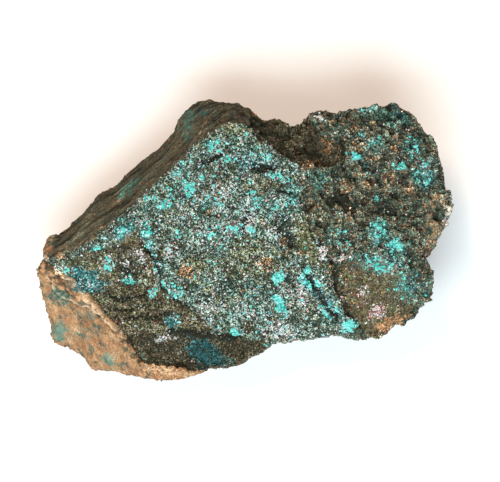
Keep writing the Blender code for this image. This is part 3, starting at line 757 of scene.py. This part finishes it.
def stains_and_painted_shade(tree, ore, at, share, rough_ground, base):
    """Dark staining in clouds, made darker along the cracks as painted shade, then black pits and clefts
    painted as shade.
    """
    gloom = clouded(tree, at, size=0.8, detail=4.0, contrast=2.4)
    stained = ramp(tree, plus(tree, share["dark"], gloom), 0.85, 1.35)
    base = blend(tree, scaled(tree, stained, 0.8), base, ore.black)
    pit_shade_share = times(tree, scaled(tree, share["dark"], 0.5, 0.06), rough_ground)
    pits = flecked(tree, ore, at, size=0.9, share=pit_shade_share, shift=37.0)["Mask"]
    cleft_shade_share = times(tree, scaled(tree, share["dark"], 0.7, 0.15), rough_ground)
    clefts = threaded(tree, at, size=0.7, share=cleft_shade_share, shift=71.0)
    return blend(tree, scaled(tree, maths(tree, "MAXIMUM", pits, clefts), 0.9), base, ore.black)


def dioptase_colour(tree, ore, at, frayed):
    """The crust of dioptase: dark to bright grains, the brightest going over to a painted highlight colour,
    and a few green ones.
    """
    grains = flecked(tree, ore, at, size=1.5, share=1.0, shift=5.0)["Shade"]
    glow = plus(tree, scaled(tree, frayed, 0.45), scaled(tree, grains, 0.75))
    paint = blend(tree, ramp(tree, glow, 0.32, 0.90), ore.dioptase_deep, ore.dioptase)
    # The brightest part of the crust is painted with the highlight colour.
    paint = blend(tree, ramp(tree, glow, 0.75, 1.10), paint, ore.dioptase_highlight)
    green = flecked(tree, ore, at, size=1.5, share=0.14, shift=105.0)["Mask"]
    return blend(tree, green, paint, ore.malachite)


def pale_grains(tree, ore, at, share, rough_ground, lively, pale, base):
    """Thin bright threads of quartz colour, painted as highlights on crystal edges, and over them the pale
    grains, some of them blushed by cuprite.
    """
    glints = scaled(tree, plus(tree, share["pale"], scaled(tree, share["teal"], 0.35)), 1.2)
    glints = threaded(tree, at, size=0.6, share=glints, shift=97.0)
    glints = times(tree, times(tree, glints, rough_ground), ramp(tree, lively, 0.1, 0.6))
    # Painted highlights: glints along crystal edges in quartz colour.
    base = blend(tree, scaled(tree, glints, 0.75), base, ore.quartz)
    milk = blend(tree, ramp(tree, pale["Shade"], 0.86, 0.96), ore.quartz, ore.blush)
    return blend(tree, scaled(tree, pale["Mask"], 0.9), base, milk)


def stone_normal(tree, ore, at, share, rough_ground):
    """Fine facets on the faces, going over to broad ones where the ground is chunky."""
    fleck = ore.fleck_size / MM
    tilt = scaled(tree, rough_ground, 1.1, 0.08)
    bump = scaled(tree, rough_ground, 0.5, 0.3)
    fine = faceted(tree, at, fleck, tilt, bump)
    broad = faceted(tree, at, fleck * 2.6, tilt, bump)
    chunky = scaled(tree, share["chunky"], 0.7, 0.15)
    return add(tree, "ShaderNodeMix", {0: chunky, 4: fine, 5: broad}, data_type="VECTOR").outputs[1]


def stone_material(ore):
    """The matrix with all its staining, flecks and pits, its painted shade in pits, clefts and cracks and
    painted highlights on its grains, driven by the minerals painted on the mesh.
    """
    material, tree, shader, at = new_material("dioptase_ore")
    share = {name: painted(tree, name) for name in MINERALS}
    rough_ground = scaled(tree, share["smooth"], -1.0, 1.0)
    lively = clouded(tree, at, size=2.4, detail=4.0, contrast=3.0)
    frayed = clouded(tree, at, size=0.36, detail=2.0, contrast=3.0)
    cluster = painted(tree, "clump")
    sparkle = scaled(tree, lively, 0.9, 0.55)

    base = ground_colour(tree, ore, at, share, rough_ground)
    bright = grain_brightness(tree, ore, at, share, rough_ground, lively)
    base = blend(tree, 1.0, base, grey_tone(tree, bright), "MULTIPLY")
    # Painted highlight: the brightest grains go over to a pale grey-green.
    base = blend(tree, scaled(tree, ramp(tree, bright, 1.6, 5.0), 0.3), base, ore.grain_highlight)
    base = stains_and_painted_shade(tree, ore, at, share, rough_ground, base)

    light = plus(tree, scaled(tree, share["teal"], 0.2), scaled(tree, share["pale"], 0.5, 0.015))
    light = times(tree, times(tree, light, rough_ground), scaled(tree, cluster, 1.1, 0.36))
    mint = flecked(tree, ore, at, size=0.9, share=times(tree, light, sparkle), shift=49.0)["Mask"]
    base = blend(tree, scaled(tree, mint, 0.8), base, ore.mint)

    film = ramp(tree, plus(tree, share["teal"], scaled(tree, frayed, 0.7)), 0.55, 1.15)
    base = blend(tree, scaled(tree, film, 0.5), base, ore.dioptase_deep)
    ragged = plus(tree, scaled(tree, cluster, 0.6), scaled(tree, frayed, 0.55))
    crust = ramp(tree, plus(tree, share["teal"], ragged), 1.14, 1.25)
    crust_share = times(tree, crust, scaled(tree, rough_ground, 0.45, 0.45))
    base = blend(tree, crust_share, base, dioptase_colour(tree, ore, at, frayed))

    pale_share = times(tree, times(tree, share["pale"], scaled(tree, cluster, 0.7, 0.05)), sparkle)
    pale = flecked(tree, ore, at, size=1.0, share=pale_share, shift=61.0)
    base = pale_grains(tree, ore, at, share, rough_ground, lively, pale, base)
    red = flecked(tree, ore, at, size=0.9, share=share["red"], shift=83.0)["Mask"]
    base = blend(tree, scaled(tree, red, 0.85), base, ore.cuprite)

    dull = clouded(tree, at, size=1.2, detail=4.0, contrast=2.0)
    roughness = plus(tree, scaled(tree, dull, 0.35, 0.26), scaled(tree, share["smooth"], 0.25))
    gloss = maths(tree, "MAXIMUM", pale["Mask"], crust)
    roughness = maths(tree, "SUBTRACT", roughness, scaled(tree, gloss, 0.14), clamp=True)
    tree.links.new(base, shader.inputs["Base Color"])
    tree.links.new(roughness, shader.inputs["Roughness"])
    tree.links.new(stone_normal(tree, ore, at, share, rough_ground), shader.inputs["Normal"])
    shader.inputs["Specular IOR Level"].default_value = 0.06
    return material


def crystal_material(name, low, high, roughness, clear, ior, facet_size):
    """Small crystals: each has its own tint between two colours, with clouds and growth marks on it."""
    material, tree, shader, at = new_material(name)
    cloud = clouded(tree, at, size=0.35, detail=3.0, contrast=2.0)
    mixed = plus(tree, times(tree, painted(tree, "tint"), 0.8), times(tree, cloud, 0.2))
    tree.links.new(blend(tree, mixed, low, high), shader.inputs["Base Color"])
    uneven = plus(tree, roughness, times(tree, cloud, 0.18))
    tree.links.new(uneven, shader.inputs["Roughness"])
    tree.links.new(faceted(tree, at, facet_size, tilt=0.12, bump=0.15), shader.inputs["Normal"])
    shader.inputs["Transmission Weight"].default_value = clear
    shader.inputs["IOR"].default_value = ior
    return material


def table_material(stage):
    """White card with a faint tooth."""
    material, tree, shader, at = new_material("white_card")
    tooth = clouded(tree, at, size=1.5, detail=4.0, contrast=1.0)
    tone = grey_tone(tree, plus(tree, 0.985, times(tree, tooth, 0.03)))
    tree.links.new(blend(tree, 1.0, stage.floor, tone, "MULTIPLY"), shader.inputs["Base Color"])
    shader.inputs["Roughness"].default_value = 0.8
    shader.inputs["Specular IOR Level"].default_value = 0.2
    return material


# ---------------------------------------------------------------- minerals on the faces


def on_face(points):
    """Row-frame points in millimetres as (right, up, out) of the broad face."""
    axes = np.array((RIGHT, UP, OUT))
    return (points - np.array(FACE_MIDDLE)) @ axes.T


def wobble(points, size, amount, seed):
    """A smooth random push for each point, in the plane of the broad face.

    The vector noise reads a state that starts from the clock unless it is seeded.
    """
    noise.seed_set(seed)
    shift = Vector((seed * 7.3, seed * 3.1, seed * 5.7))
    pushes = [noise.noise_vector(Vector(point) / size + shift)[:2] for point in points]
    return amount * np.array(pushes)


def inside(flat, outline, soft):
    """1 inside an outline and 0 outside it, going over within soft millimetres of its edge."""
    corners = np.array(outline)
    following = np.roll(corners, -1, axis=0)
    nearest = np.full(len(flat), 1e9)
    within = np.zeros(len(flat), dtype=bool)
    for start, end in zip(corners, following):
        along = end - start
        share = np.clip(((flat - start) @ along) / (along @ along), 0.0, 1.0)
        nearest = np.minimum(nearest, np.linalg.norm(flat - start - share[:, None] * along, axis=1))
        spans = (start[1] > flat[:, 1]) != (end[1] > flat[:, 1])
        rise = along[1] if along[1] else 1e-9
        crossing = start[0] + (flat[:, 1] - start[1]) * along[0] / rise
        within ^= spans & (flat[:, 0] < crossing)
    depth = np.where(within, nearest, -nearest)
    return np.clip(0.5 + depth / soft, 0.0, 1.0)


def patch(flat, spot):
    """How much of one patch each point gets."""
    right, up, length, width, turn, amount = spot
    angle = math.radians(turn)
    away = flat - np.array((right, up))
    along = away[:, 0] * math.cos(angle) + away[:, 1] * math.sin(angle)
    across = away[:, 1] * math.cos(angle) - away[:, 0] * math.sin(angle)
    ring = np.sqrt((along / length) ** 2 + (across / width) ** 2)
    return amount * np.clip(1.45 - 0.9 * ring, 0.0, 1.0)


def along_lines(flat, lines):
    """Height of soft-sided lines, each given by its half width, its height and its corners."""
    total = np.zeros(len(flat))
    for half_width, height, line in lines:
        for start, end in zip(np.array(line[:-1]), np.array(line[1:])):
            along = end - start
            share = np.clip(((flat - start) @ along) / (along @ along), 0.0, 1.0)
            away = np.linalg.norm(flat - start - share[:, None] * along, axis=1)
            total = np.maximum(total, height * np.exp(-((away / half_width) ** 2)))
    return total


def face_lines(points):
    """How deep the crevices and how high the ridges are at each point. Both waver a little."""
    flat = on_face(points)[:, :2] + wobble(points, size=1.2, amount=0.5, seed=11)
    return along_lines(flat, CREVICES), along_lines(flat, RIDGES)


def clouds(points, size, seed):
    """Smooth random values from -1 to 1 through the stone."""
    shift = Vector((seed * 13.1, seed * 2.7, seed * 9.9))
    return np.array([noise.fractal(Vector(point) / size + shift, 1.0, 2.0, 3) for point in points])


def beds(points):
    """Thin beds that run along the back rim, as the edges of leaves in a book, from about -1 to 1."""
    face = on_face(points)
    turn = math.radians(BED_TURN)
    along = face[:, 0] * math.cos(turn) + face[:, 1] * math.sin(turn)
    across = face[:, 1] * math.cos(turn) - face[:, 0] * math.sin(turn)
    leaves = [
        noise.fractal(Vector((s / 9.0, t / 1.1, c / 1.5)), 0.8, 2.0, 3)
        for s, t, c in zip(along, across, face[:, 2])
    ]
    return np.array(leaves)


def paint_minerals(points, normals):
    """The share of every mineral, and of every zone, at each point."""
    flat = on_face(points)[:, :2]
    cracks, ridges = face_lines(points)
    edge = flat + wobble(points, size=1.4, amount=0.55, seed=1)
    edge += wobble(points, size=0.6, amount=0.3, seed=2)
    spread = flat + wobble(points, size=1.1, amount=0.9, seed=3)
    spread += wobble(points, size=0.5, amount=0.45, seed=4)
    seen = np.clip((normals @ np.array(OUT) + 0.02) / 0.12, 0.0, 1.0)
    zones = {name: inside(edge, outline, 0.5) * seen for name, outline in ZONES.items()}
    for part, whole in PARTS_OF.items():
        zones[part] = zones[part] * zones[whole]
        zones[whole] = zones[whole] - zones[part]
    taken = np.clip(sum(zones.values()), 0.0, 1.0)
    zones["bright_face"] = np.clip(seen - taken, 0.0, 1.0)
    zones["sides"] = 1.0 - seen
    shares = {}
    for mineral in MINERALS:
        total = sum(zones[name] * FACE_MINERALS[name].get(mineral, 0.0) for name in FACE_MINERALS)
        for spot in PATCHES.get(mineral, ()):
            total = np.maximum(total, patch(spread, spot) * seen)
        shares[mineral] = total
    # Painted shade along the cracks.
    shares["dark"] += 2.0 * cracks * seen
    covered = np.clip(cracks + 0.8 * shares["rust"], 0.0, 0.9) * seen
    for mineral in ("teal", "pale"):
        shares[mineral] *= 1.0 - covered
    # Where the ridges' painted highlight goes.
    shares["edge"] = ridges * seen
    zones["back"] = zones["sides"] * behind(points)
    shares["bed"] = 0.5 + 0.5 * (zones["back_wall"] + 0.7 * zones["back"]) * beds(points)
    shares["front"] = seen
    shares["clump"] = np.clip(0.5 + 1.1 * clouds(points, 0.9, 12), 0.0, 1.0)
    paint_sides(points, zones["sides"], shares)
    shares["rust"] *= 1.0 - 0.65 * zones["back"]
    shares["bedded"] += 0.8 * zones["back"]
    shares["smooth"] = np.maximum(shares["smooth"], 0.75 * zones["back"])
    return zones, shares


def behind(points):
    """1 on the hidden side behind the bedded wall, fading out round the corners and down to the foot."""
    drift = clouds(points, 6.0, 13)
    back = np.clip((points[:, 1] + 2.0) / 8.0 + 0.4 * drift, 0.0, 1.0)
    left = np.clip((4.0 - points[:, 0]) / 9.0 + 0.6 * drift, 0.0, 1.0)
    high = np.clip((points[:, 2] - 3.0) / 9.0 + 0.5 * drift, 0.0, 1.0)
    return back * left * high


def paint_sides(points, sides, shares):
    """The faces that hide from the front: rusty, brown and mossy ground in broad clouds, with veins."""
    warm = np.clip(0.55 + 1.1 * clouds(points, 11.0, 5) - 0.012 * points[:, 0], 0.0, 1.0)
    green = np.clip(1.3 * clouds(points, 8.0, 6) + 0.15, 0.0, 1.0)
    vein = np.clip(1.0 - 7.0 * np.abs(clouds(points, 9.0, 7)), 0.0, 1.0)
    shares["rust"] += sides * 0.85 * warm
    shares["brown"] += sides * 0.6
    shares["moss"] += sides * 0.6 * green
    shares["teal"] += sides * (0.04 + 0.5 * vein * green + 0.25 * np.clip(green - 0.55, 0, 1))
    shares["deep"] += sides * 0.6 * np.clip(clouds(points, 4.0, 8) - 0.1, 0.0, 1.0)
    shares["pale"] += sides * 0.03
    shares["dark"] += sides * 0.3 * np.clip(0.4 + clouds(points, 5.0, 9), 0.0, 1.0)
    shares["chunky"] += sides * 0.6
    shares["smooth"] += sides * np.clip(0.35 + clouds(points, 7.0, 10), 0.0, 0.8)


# ---------------------------------------------------------------- the broken surface


def broken_grain(points, size, tilt, height, seed):
    """Push of a granular break: every grain is a small flat facet with a tilt and a height of its own."""
    shift = Vector((seed * 17.0, seed * 5.0, seed * 11.0))
    pushes = np.empty(len(points))
    for i, point in enumerate(points):
        place_in = Vector(point) / size + shift
        cell = noise.voronoi(place_in)[1][0]
        lean = noise.cell_vector(cell * 91.7)
        rise = noise.cell(cell * 57.3)
        pushes[i] = tilt * size * (place_in - cell).dot(lean) + height * rise
    return pushes


def stepped(points, size, rise, seed):
    """Push of a shelly break: low steps with rounded edges."""
    shift = Vector((seed * 3.0, seed * 19.0, seed * 7.0))
    levels = np.array([noise.fractal(Vector(point) / size + shift, 1.0, 2.0, 2) for point in points]) * 4.0
    whole = np.floor(levels)
    part = levels - whole
    return rise * (whole + np.clip(part * 3.0 - 1.0, 0.0, 1.0))


def surface_push(points, zones):
    """How far each point moves along its normal: for its face's own level, and for the grain on it."""
    cracks, ridges = face_lines(points)
    relief = sum(zones[name] * level for name, level in LEVELS.items())
    relief += (ridges - cracks) * (1.0 - zones["sides"])
    grain = broken_grain(points, size=0.9, tilt=0.42, height=0.13, seed=1)
    lumps = broken_grain(points, size=1.6, tilt=0.44, height=0.22, seed=2) + 0.42 * clouds(points, 2.8, 3)
    fine = 0.08 * clouds(points, 0.8, 4)
    steps = stepped(points, size=3.2, rise=0.10, seed=5)
    swell = clouds(points, 2.6, 6)
    bright = zones["bright_face"] * (grain + 0.4 * lumps * (0.5 + swell) + 0.22 * swell)
    coarse = (zones["block"] + 0.8 * zones["hollow"]) * (lumps + 0.35 * grain)
    shelly = sum(zones[name] for name in FLAT_BREAKS) * (0.45 * grain + steps)
    slab = zones["grey_slab"] * (0.3 * grain + 0.6 * steps)
    leaves = (zones["back_wall"] + 0.8 * zones["back"]) * (0.45 * beds(points) + 0.15 * swell)
    soft = zones["left_wall"] * (0.25 * clouds(points, 2.2, 7) + 0.06 * grain)
    crumbly = zones["lip"] * (0.5 * grain + 0.15 * clouds(points, 1.0, 8))
    hidden = (zones["sides"] - 0.7 * zones["back"]) * (0.45 * lumps + 0.5 * steps + 0.2 * grain)
    rugged = zones["ledge"] * (0.6 * grain + 0.2 * clouds(points, 1.4, 9))
    detail = fine + bright + coarse + shelly + slab + leaves + soft + crumbly + rugged + hidden
    return relief, detail - detail.mean()


def applied(work):
    """The mesh that an object's modifiers give. The object goes."""
    bpy.context.scene.collection.objects.link(work)
    graph = bpy.context.evaluated_depsgraph_get()
    mesh = bpy.data.meshes.new_from_object(work.evaluated_get(graph), depsgraph=graph)
    bpy.data.objects.remove(work)
    return mesh


def remeshed(source, size):
    """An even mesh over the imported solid."""
    work = bpy.data.objects.new("work", source.data.copy())
    work.matrix_world = source.matrix_world.copy()
    remesh = work.modifiers.new("Remesh", "REMESH")
    remesh.mode = "VOXEL"
    remesh.voxel_size = size
    relax = work.modifiers.new("Relax", "SMOOTH")
    relax.factor = 0.5
    relax.iterations = 2
    mesh = applied(work)
    mesh.transform(source.matrix_world)
    return mesh


def thinned(mesh, hidden, limit):
    """The mesh with its hidden faces merged where they are flattest, down to a number of triangles.

    Merging may leave a point a hair below the underside, so that is put back.
    """
    work = bpy.data.objects.new("work", mesh)
    group = work.vertex_groups.new(name="hidden")
    group.add(np.flatnonzero(hidden).tolist(), 1.0, "REPLACE")
    thin = work.modifiers.new("Thin", "DECIMATE")
    thin.vertex_group = group.name
    thin.ratio = limit / (len(mesh.loops) - 2 * len(mesh.polygons))
    mesh = applied(work)
    points = read_vectors(mesh.vertices, "co", len(mesh.vertices))
    points[:, 2] = np.maximum(points[:, 2], 0.0)
    mesh.vertices.foreach_set("co", points.ravel())
    return mesh


def read_vectors(items, name, count):
    """A three-number property of every item, as an array."""
    values = np.empty(count * 3)
    items.foreach_get(name, values)
    return values.reshape(-1, 3)


def write_shares(mesh, shares):
    """Each mineral's share as an attribute of the mesh's points."""
    for name, values in shares.items():
        layer = mesh.attributes.new(name, "FLOAT", "POINT")
        layer.data.foreach_set("value", np.clip(values, 0.0, 1.5).astype(np.float32))


def held_in(points, slack):
    """Points in millimetres, held within the solid's box and a slack at its low and its high sides."""
    low, high = (np.array(corner) / MM for corner in CAD_BOX)
    return np.clip(points, low - (slack[0], slack[0], 0.0), high + slack[1])


def broken(points, normals, zones, shares):
    """The stone's points pushed out into its broken surface. The height of the grain joins the shares."""
    standing = np.clip((points[:, 2] - GRAIN_START) / GRAIN_RISE, 0.0, 1.0)
    scatter = np.random.default_rng(7).uniform(-SCATTER, SCATTER, points.shape)
    calm = np.maximum(np.maximum(shares["smooth"], 0.6 * shares["chunky"]), 0.8 * zones["sides"])
    scatter *= 1.0 - 0.85 * np.clip(calm, 0.0, 1.0)[:, None]
    relief, detail = surface_push(points, zones)
    push = (relief + detail) * standing
    # Kept so that the shader can paint light on the grain's crests and shade in its hollows.
    shares["crest"] = CREST_MIDDLE + detail / CREST_SPAN
    pushed = points + normals * push[:, None] + scatter * standing[:, None]
    pushed[:, 2] = np.where(points[:, 2] < UNDERSIDE, 0.0, np.maximum(pushed[:, 2], 0.0))
    return held_in(pushed, STONE_SLACK)


def make_stone(ore):
    """The lump itself: a fine mesh, broken and painted face by face, and thinned where it is hidden."""
    mesh = remeshed(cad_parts[CAD_NODE], ore.mesh_size)
    count = len(mesh.vertices)
    points = read_vectors(mesh.vertices, "co", count) / MM
    normals = read_vectors(mesh.vertices, "normal", count)
    zones, shares = paint_minerals(points, normals)
    mesh.vertices.foreach_set("co", (broken(points, normals, zones, shares) * MM).ravel())
    write_shares(mesh, shares)
    hidden = shares["front"] < 0.01
    mesh = thinned(mesh, hidden, ore.triangle_limit)
    mesh.shade_flat()
    mesh.materials.clear()
    mesh.materials.append(stone_material(ore))
    stone = bpy.data.objects.new("ore_stone", mesh)
    bpy.context.scene.collection.objects.link(stone)
    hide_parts(CAD_NODE)
    adopt(stone)


def adopt(piece):
    """The piece belongs to the lump: it is attached to the lump's root body."""
    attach(piece, "root")


# ---------------------------------------------------------------- crystals and grains


def dioptase_shape():
    """A stubby six-sided prism with a low three-sided roof, one unit long."""
    ring = [(math.cos(math.radians(60 * i)), math.sin(math.radians(60 * i))) for i in range(6)]
    foot = [(0.34 * x, 0.34 * y, -0.45) for x, y in ring]
    shoulder = [(0.34 * x, 0.34 * y, 0.22 if i % 2 else 0.36) for i, (x, y) in enumerate(ring)]
    points = [*foot, *shoulder, (0.0, 0.0, 0.55)]
    sides = [(i, (i + 1) % 6, 6 + (i + 1) % 6, 6 + i) for i in range(6)]
    roof = [(6 + i, 6 + (i + 1) % 6, 12) for i in range(6)]
    return points, [*sides, *roof, (5, 4, 3, 2, 1, 0)]


def octahedron_shape():
    """Cuprite's usual form."""
    points = [(0.5, 0, 0), (0, 0.5, 0), (-0.5, 0, 0), (0, -0.5, 0), (0, 0, 0.5), (0, 0, -0.5)]
    around = [(i, (i + 1) % 4) for i in range(4)]
    return points, [(a, b, 4) for a, b in around] + [(b, a, 5) for a, b in around]


def chip_shape():
    """A flat-sided chip, wider than it is thick."""
    points = [
        (-0.5, -0.32, -0.25), (0.42, -0.45, -0.22), (0.5, 0.38, -0.28), (-0.38, 0.48, -0.2),
        (-0.3, -0.28, 0.3), (0.34, -0.2, 0.2), (0.22, 0.3, 0.34), (-0.4, 0.22, 0.16),
    ]
    faces = [
        (3, 2, 1, 0), (4, 5, 6, 7), (0, 1, 5, 4), (1, 2, 6, 5), (2, 3, 7, 6), (3, 0, 4, 7),
    ]
    return points, faces


def face_table(names):
    """Every face's centre in millimetres, normal and area, and the named shares at its first corner."""
    stone = bpy.data.objects.get("ore_stone")
    if stone is None:
        raise RuntimeError("make the stone first")
    mesh = stone.data
    count = len(mesh.polygons)
    centres = read_vectors(mesh.polygons, "center", count) / MM
    normals = read_vectors(mesh.polygons, "normal", count)
    areas = np.empty(count)
    mesh.polygons.foreach_get("area", areas)
    first = np.empty(count, dtype=np.int32)
    mesh.polygons.foreach_get("loop_start", first)
    corners = np.empty(len(mesh.loops), dtype=np.int32)
    mesh.loops.foreach_get("vertex_index", corners)
    shares = {}
    for name in names:
        values = np.empty(len(mesh.vertices), dtype=np.float32)
        mesh.attributes[name].data.foreach_get("value", values)
        shares[name] = values[corners[first]]
    return centres, normals, areas, shares


def sown(name, shape, material, weight, count, size, sink, lean, seed):
    """One joined mesh of many small crystals on the stone, thicker where weight is high.

    size is in millimetres, sink is the part of it that a crystal sits below the surface, and lean is how
    far the crystal may tip.
    """
    rng = np.random.default_rng(seed)
    centres, normals, areas, shares = face_table(("front",))
    chance = np.clip(weight, 0.0, None) * areas * (0.25 + 0.75 * shares["front"])
    chance[centres[:, 2] < LOWEST_CRYSTAL] = 0.0
    picks = rng.choice(len(centres), size=count, p=chance / chance.sum())
    template, faces = shape
    template = np.array(template)
    points = []
    for pick in picks:
        facing = Vector(normals[pick] + rng.normal(0.0, lean, 3)).normalized()
        turn = facing.to_track_quat("Z", "Y").to_matrix() @ Matrix.Rotation(rng.uniform(0, math.tau), 3, "Z")
        scale = size * min(rng.lognormal(0.0, 0.35), 1.8) * rng.uniform(0.8, 1.2, 3)
        middle = centres[pick] + np.array(facing) * scale[2] * (-sink) + rng.normal(0.0, 0.08, 3)
        points.append((template * scale) @ np.array(turn).T + middle)
    step = len(template)
    all_faces = [tuple(i + step * k for i in face) for k in range(count) for face in faces]
    mesh = bpy.data.meshes.new(name)
    mesh.from_pydata((held_in(np.concatenate(points), CRYSTAL_SLACK) * MM).tolist(), [], all_faces)
    tint = mesh.attributes.new("tint", "FLOAT", "POINT")
    tint.data.foreach_set("value", np.repeat(rng.uniform(0.0, 1.0, count), step).astype(np.float32))
    mesh.materials.append(material)
    piece = bpy.data.objects.new(name, mesh)
    bpy.context.scene.collection.objects.link(piece)
    adopt(piece)


# ---------------------------------------------------------------- operators


class ORE_OT_stone(bpy.types.Operator):
    """Make the broken lump with its minerals painted on"""

    bl_idname = "ore.stone"
    bl_label = "Make the stone"

    def execute(self, context):
        make_stone(context.scene.ore)
        return {"FINISHED"}


class ORE_OT_dioptase(bpy.types.Operator):
    """Grow the blue-green dioptase crystals"""

    bl_idname = "ore.dioptase"
    bl_label = "Grow dioptase"

    def execute(self, context):
        ore = context.scene.ore
        shares = face_table(("teal", "clump", "smooth"))[3]
        bare = np.clip(1.0 - shares["smooth"], 0.05, 1.0)
        sown(
            "dioptase_crystals",
            dioptase_shape(),
            # Each crystal's tint runs from dioptase to the painted highlight colour.
            crystal_material(
                "dioptase", ore.dioptase, ore.dioptase_highlight, roughness=0.14, clear=0.3, ior=1.65, facet_size=0.5
            ),
            weight=np.clip(shares["teal"] + 0.75 * shares["clump"] - 0.80, 0.0, 1.0) * bare,
            count=ore.dioptase_count, size=ore.dioptase_size / MM, sink=0.1, lean=0.7, seed=21,
        )
        return {"FINISHED"}


class ORE_OT_quartz(bpy.types.Operator):
    """Scatter the pale quartz grains"""

    bl_idname = "ore.quartz"
    bl_label = "Scatter quartz"

    def execute(self, context):
        ore = context.scene.ore
        sown(
            "quartz_grains",
            chip_shape(),
            crystal_material(
                "quartz", ore.blush, ore.quartz, roughness=0.1, clear=0.2, ior=1.54, facet_size=0.4
            ),
            weight=face_table(("pale",))[3]["pale"] ** 1.4,
            count=ore.quartz_count, size=ore.quartz_size / MM, sink=0.1, lean=0.8, seed=22,
        )
        return {"FINISHED"}


class ORE_OT_cuprite(bpy.types.Operator):
    """Scatter the dark red cuprite crystals"""

    bl_idname = "ore.cuprite"
    bl_label = "Scatter cuprite"

    def execute(self, context):
        ore = context.scene.ore
        shares = face_table(("red", "smooth"))[3]
        dark = tuple(0.35 * part for part in ore.cuprite)
        sown(
            "cuprite_crystals",
            octahedron_shape(),
            crystal_material(
                "cuprite", dark, ore.cuprite, roughness=0.16, clear=0.0, ior=2.6, facet_size=0.4
            ),
            weight=shares["red"] + 0.004 * np.clip(1.0 - shares["smooth"], 0.0, 1.0),
            count=ore.cuprite_count, size=ore.cuprite_size / MM, sink=0.05, lean=0.9, seed=23,
        )
        return {"FINISHED"}


class ORE_OT_crumbs(bpy.types.Operator):
    """Scatter crumbs of the brown and olive matrix"""

    bl_idname = "ore.crumbs"
    bl_label = "Scatter matrix crumbs"

    def execute(self, context):
        ore = context.scene.ore
        shares = face_table(("brown", "moss", "rust", "smooth"))[3]
        rough = np.clip(1.0 - 1.5 * shares["smooth"] - shares["rust"], 0.0, 1.0)
        sown(
            "matrix_crumbs",
            chip_shape(),
            crystal_material(
                "matrix_crumb", ore.brown, ore.moss, roughness=0.45, clear=0.0, ior=1.5, facet_size=0.3
            ),
            weight=(shares["brown"] + shares["moss"]) * rough,
            count=ore.crumb_count, size=ore.crumb_size / MM, sink=0.42, lean=0.4, seed=24,
        )
        return {"FINISHED"}


class ORE_OT_stage(bpy.types.Operator):
    """Lay the table and set the lights and the camera"""

    bl_idname = "ore.stage"
    bl_label = "Set the stage"

    def execute(self, context):
        stage = context.scene.ore_stage
        lay_table(stage)
        set_lights(stage)
        set_camera(stage)
        context.scene.view_settings.view_transform = "Standard"
        return {"FINISHED"}


def lay_table(stage):
    """A wide sheet of white card."""
    sheet = bmesh.new()
    bmesh.ops.create_grid(sheet, x_segments=8, y_segments=8, size=TABLE_HALF)
    mesh = bpy.data.meshes.new("table")
    sheet.to_mesh(mesh)
    sheet.free()
    mesh.materials.append(table_material(stage))
    table = bpy.data.objects.new("table", mesh)
    bpy.context.scene.collection.objects.link(table)


def area_light(name, spot, width, height, power, colour_of_light):
    """A soft oblong light that looks at the stone."""
    light = bpy.data.lights.new(name, "AREA")
    light.shape = "RECTANGLE"
    light.size = width
    light.size_y = height
    light.energy = power
    light.color = colour_of_light
    lamp = bpy.data.objects.new(name, light)
    lamp.location = spot
    lamp.rotation_euler = (Vector(LIGHT_AIM) - Vector(spot)).to_track_quat("-Z", "Y").to_euler()
    lamp.visible_camera = False
    bpy.context.scene.collection.objects.link(lamp)


def set_lights(stage):
    """A cool window in front, a warmer lamp high at the left, and a pale room around."""
    area_light(
        "window", spot=(-0.03, -0.56, 0.68), width=0.56, height=0.32, power=stage.window_power,
        colour_of_light=(0.84, 0.96, 1.0),
    )
    area_light(
        "lamp", spot=(-0.24, 0.03, 0.85), width=0.26, height=0.26, power=stage.lamp_power,
        colour_of_light=(1.0, 0.76, 0.58),
    )
    world = bpy.data.worlds.new("room")
    world.use_nodes = True
    backdrop = world.node_tree.nodes["Background"]
    backdrop.inputs["Color"].default_value = (1.0, 0.93, 0.90, 1.0)
    backdrop.inputs["Strength"].default_value = stage.sky
    bpy.context.scene.world = world


def set_camera(stage):
    """A long lens square on to the broad face."""
    camera = bpy.data.cameras.new("camera")
    camera.sensor_width = 36.0
    camera.lens = camera.sensor_width * stage.camera_distance / stage.view_width
    camera.clip_end = 20.0
    eye = bpy.data.objects.new("camera", camera)
    right, up, out = CAMERA_AIM
    aim = (FACE_MIDDLE + RIGHT * right + UP * up + OUT * out) * MM
    turn = Matrix((RIGHT, UP, OUT)).transposed().to_4x4()
    eye.matrix_world = Matrix.Translation(aim + OUT * stage.camera_distance) @ turn
    bpy.context.scene.collection.objects.link(eye)
    bpy.context.scene.camera = eye


class ORE_PT_panel(bpy.types.Panel):
    """The steps in order, and the sizes that each reads"""

    bl_label = "Copper Ore"
    bl_idname = "ORE_PT_panel"
    bl_space_type = "VIEW_3D"
    bl_region_type = "UI"
    bl_category = "Copper Ore"

    def draw(self, context):
        for name in STEPS:
            self.layout.operator(f"ore.{name}")
        for settings in (context.scene.ore, context.scene.ore_stage):
            box = self.layout.box()
            for name in settings.bl_rna.properties.keys():
                if name not in {"rna_type", "name"}:
                    box.prop(settings, name)


STEPS = ("stone", "dioptase", "quartz", "cuprite", "crumbs", "stage")
CLASSES = (
    OreSettings, StageSettings, ORE_OT_stone, ORE_OT_dioptase, ORE_OT_quartz, ORE_OT_cuprite,
    ORE_OT_crumbs, ORE_OT_stage, ORE_PT_panel,
)


def register():
    for cls in CLASSES:
        bpy.utils.register_class(cls)
    bpy.types.Scene.ore = PointerProperty(type=OreSettings)
    bpy.types.Scene.ore_stage = PointerProperty(type=StageSettings)


def unregister():
    del bpy.types.Scene.ore_stage
    del bpy.types.Scene.ore
    for cls in reversed(CLASSES):
        bpy.utils.unregister_class(cls)


def main():
    """Makes everything in order."""
    register()
    for name in STEPS:
        getattr(bpy.ops.ore, name)()


if __name__ == "__main__":
    main()
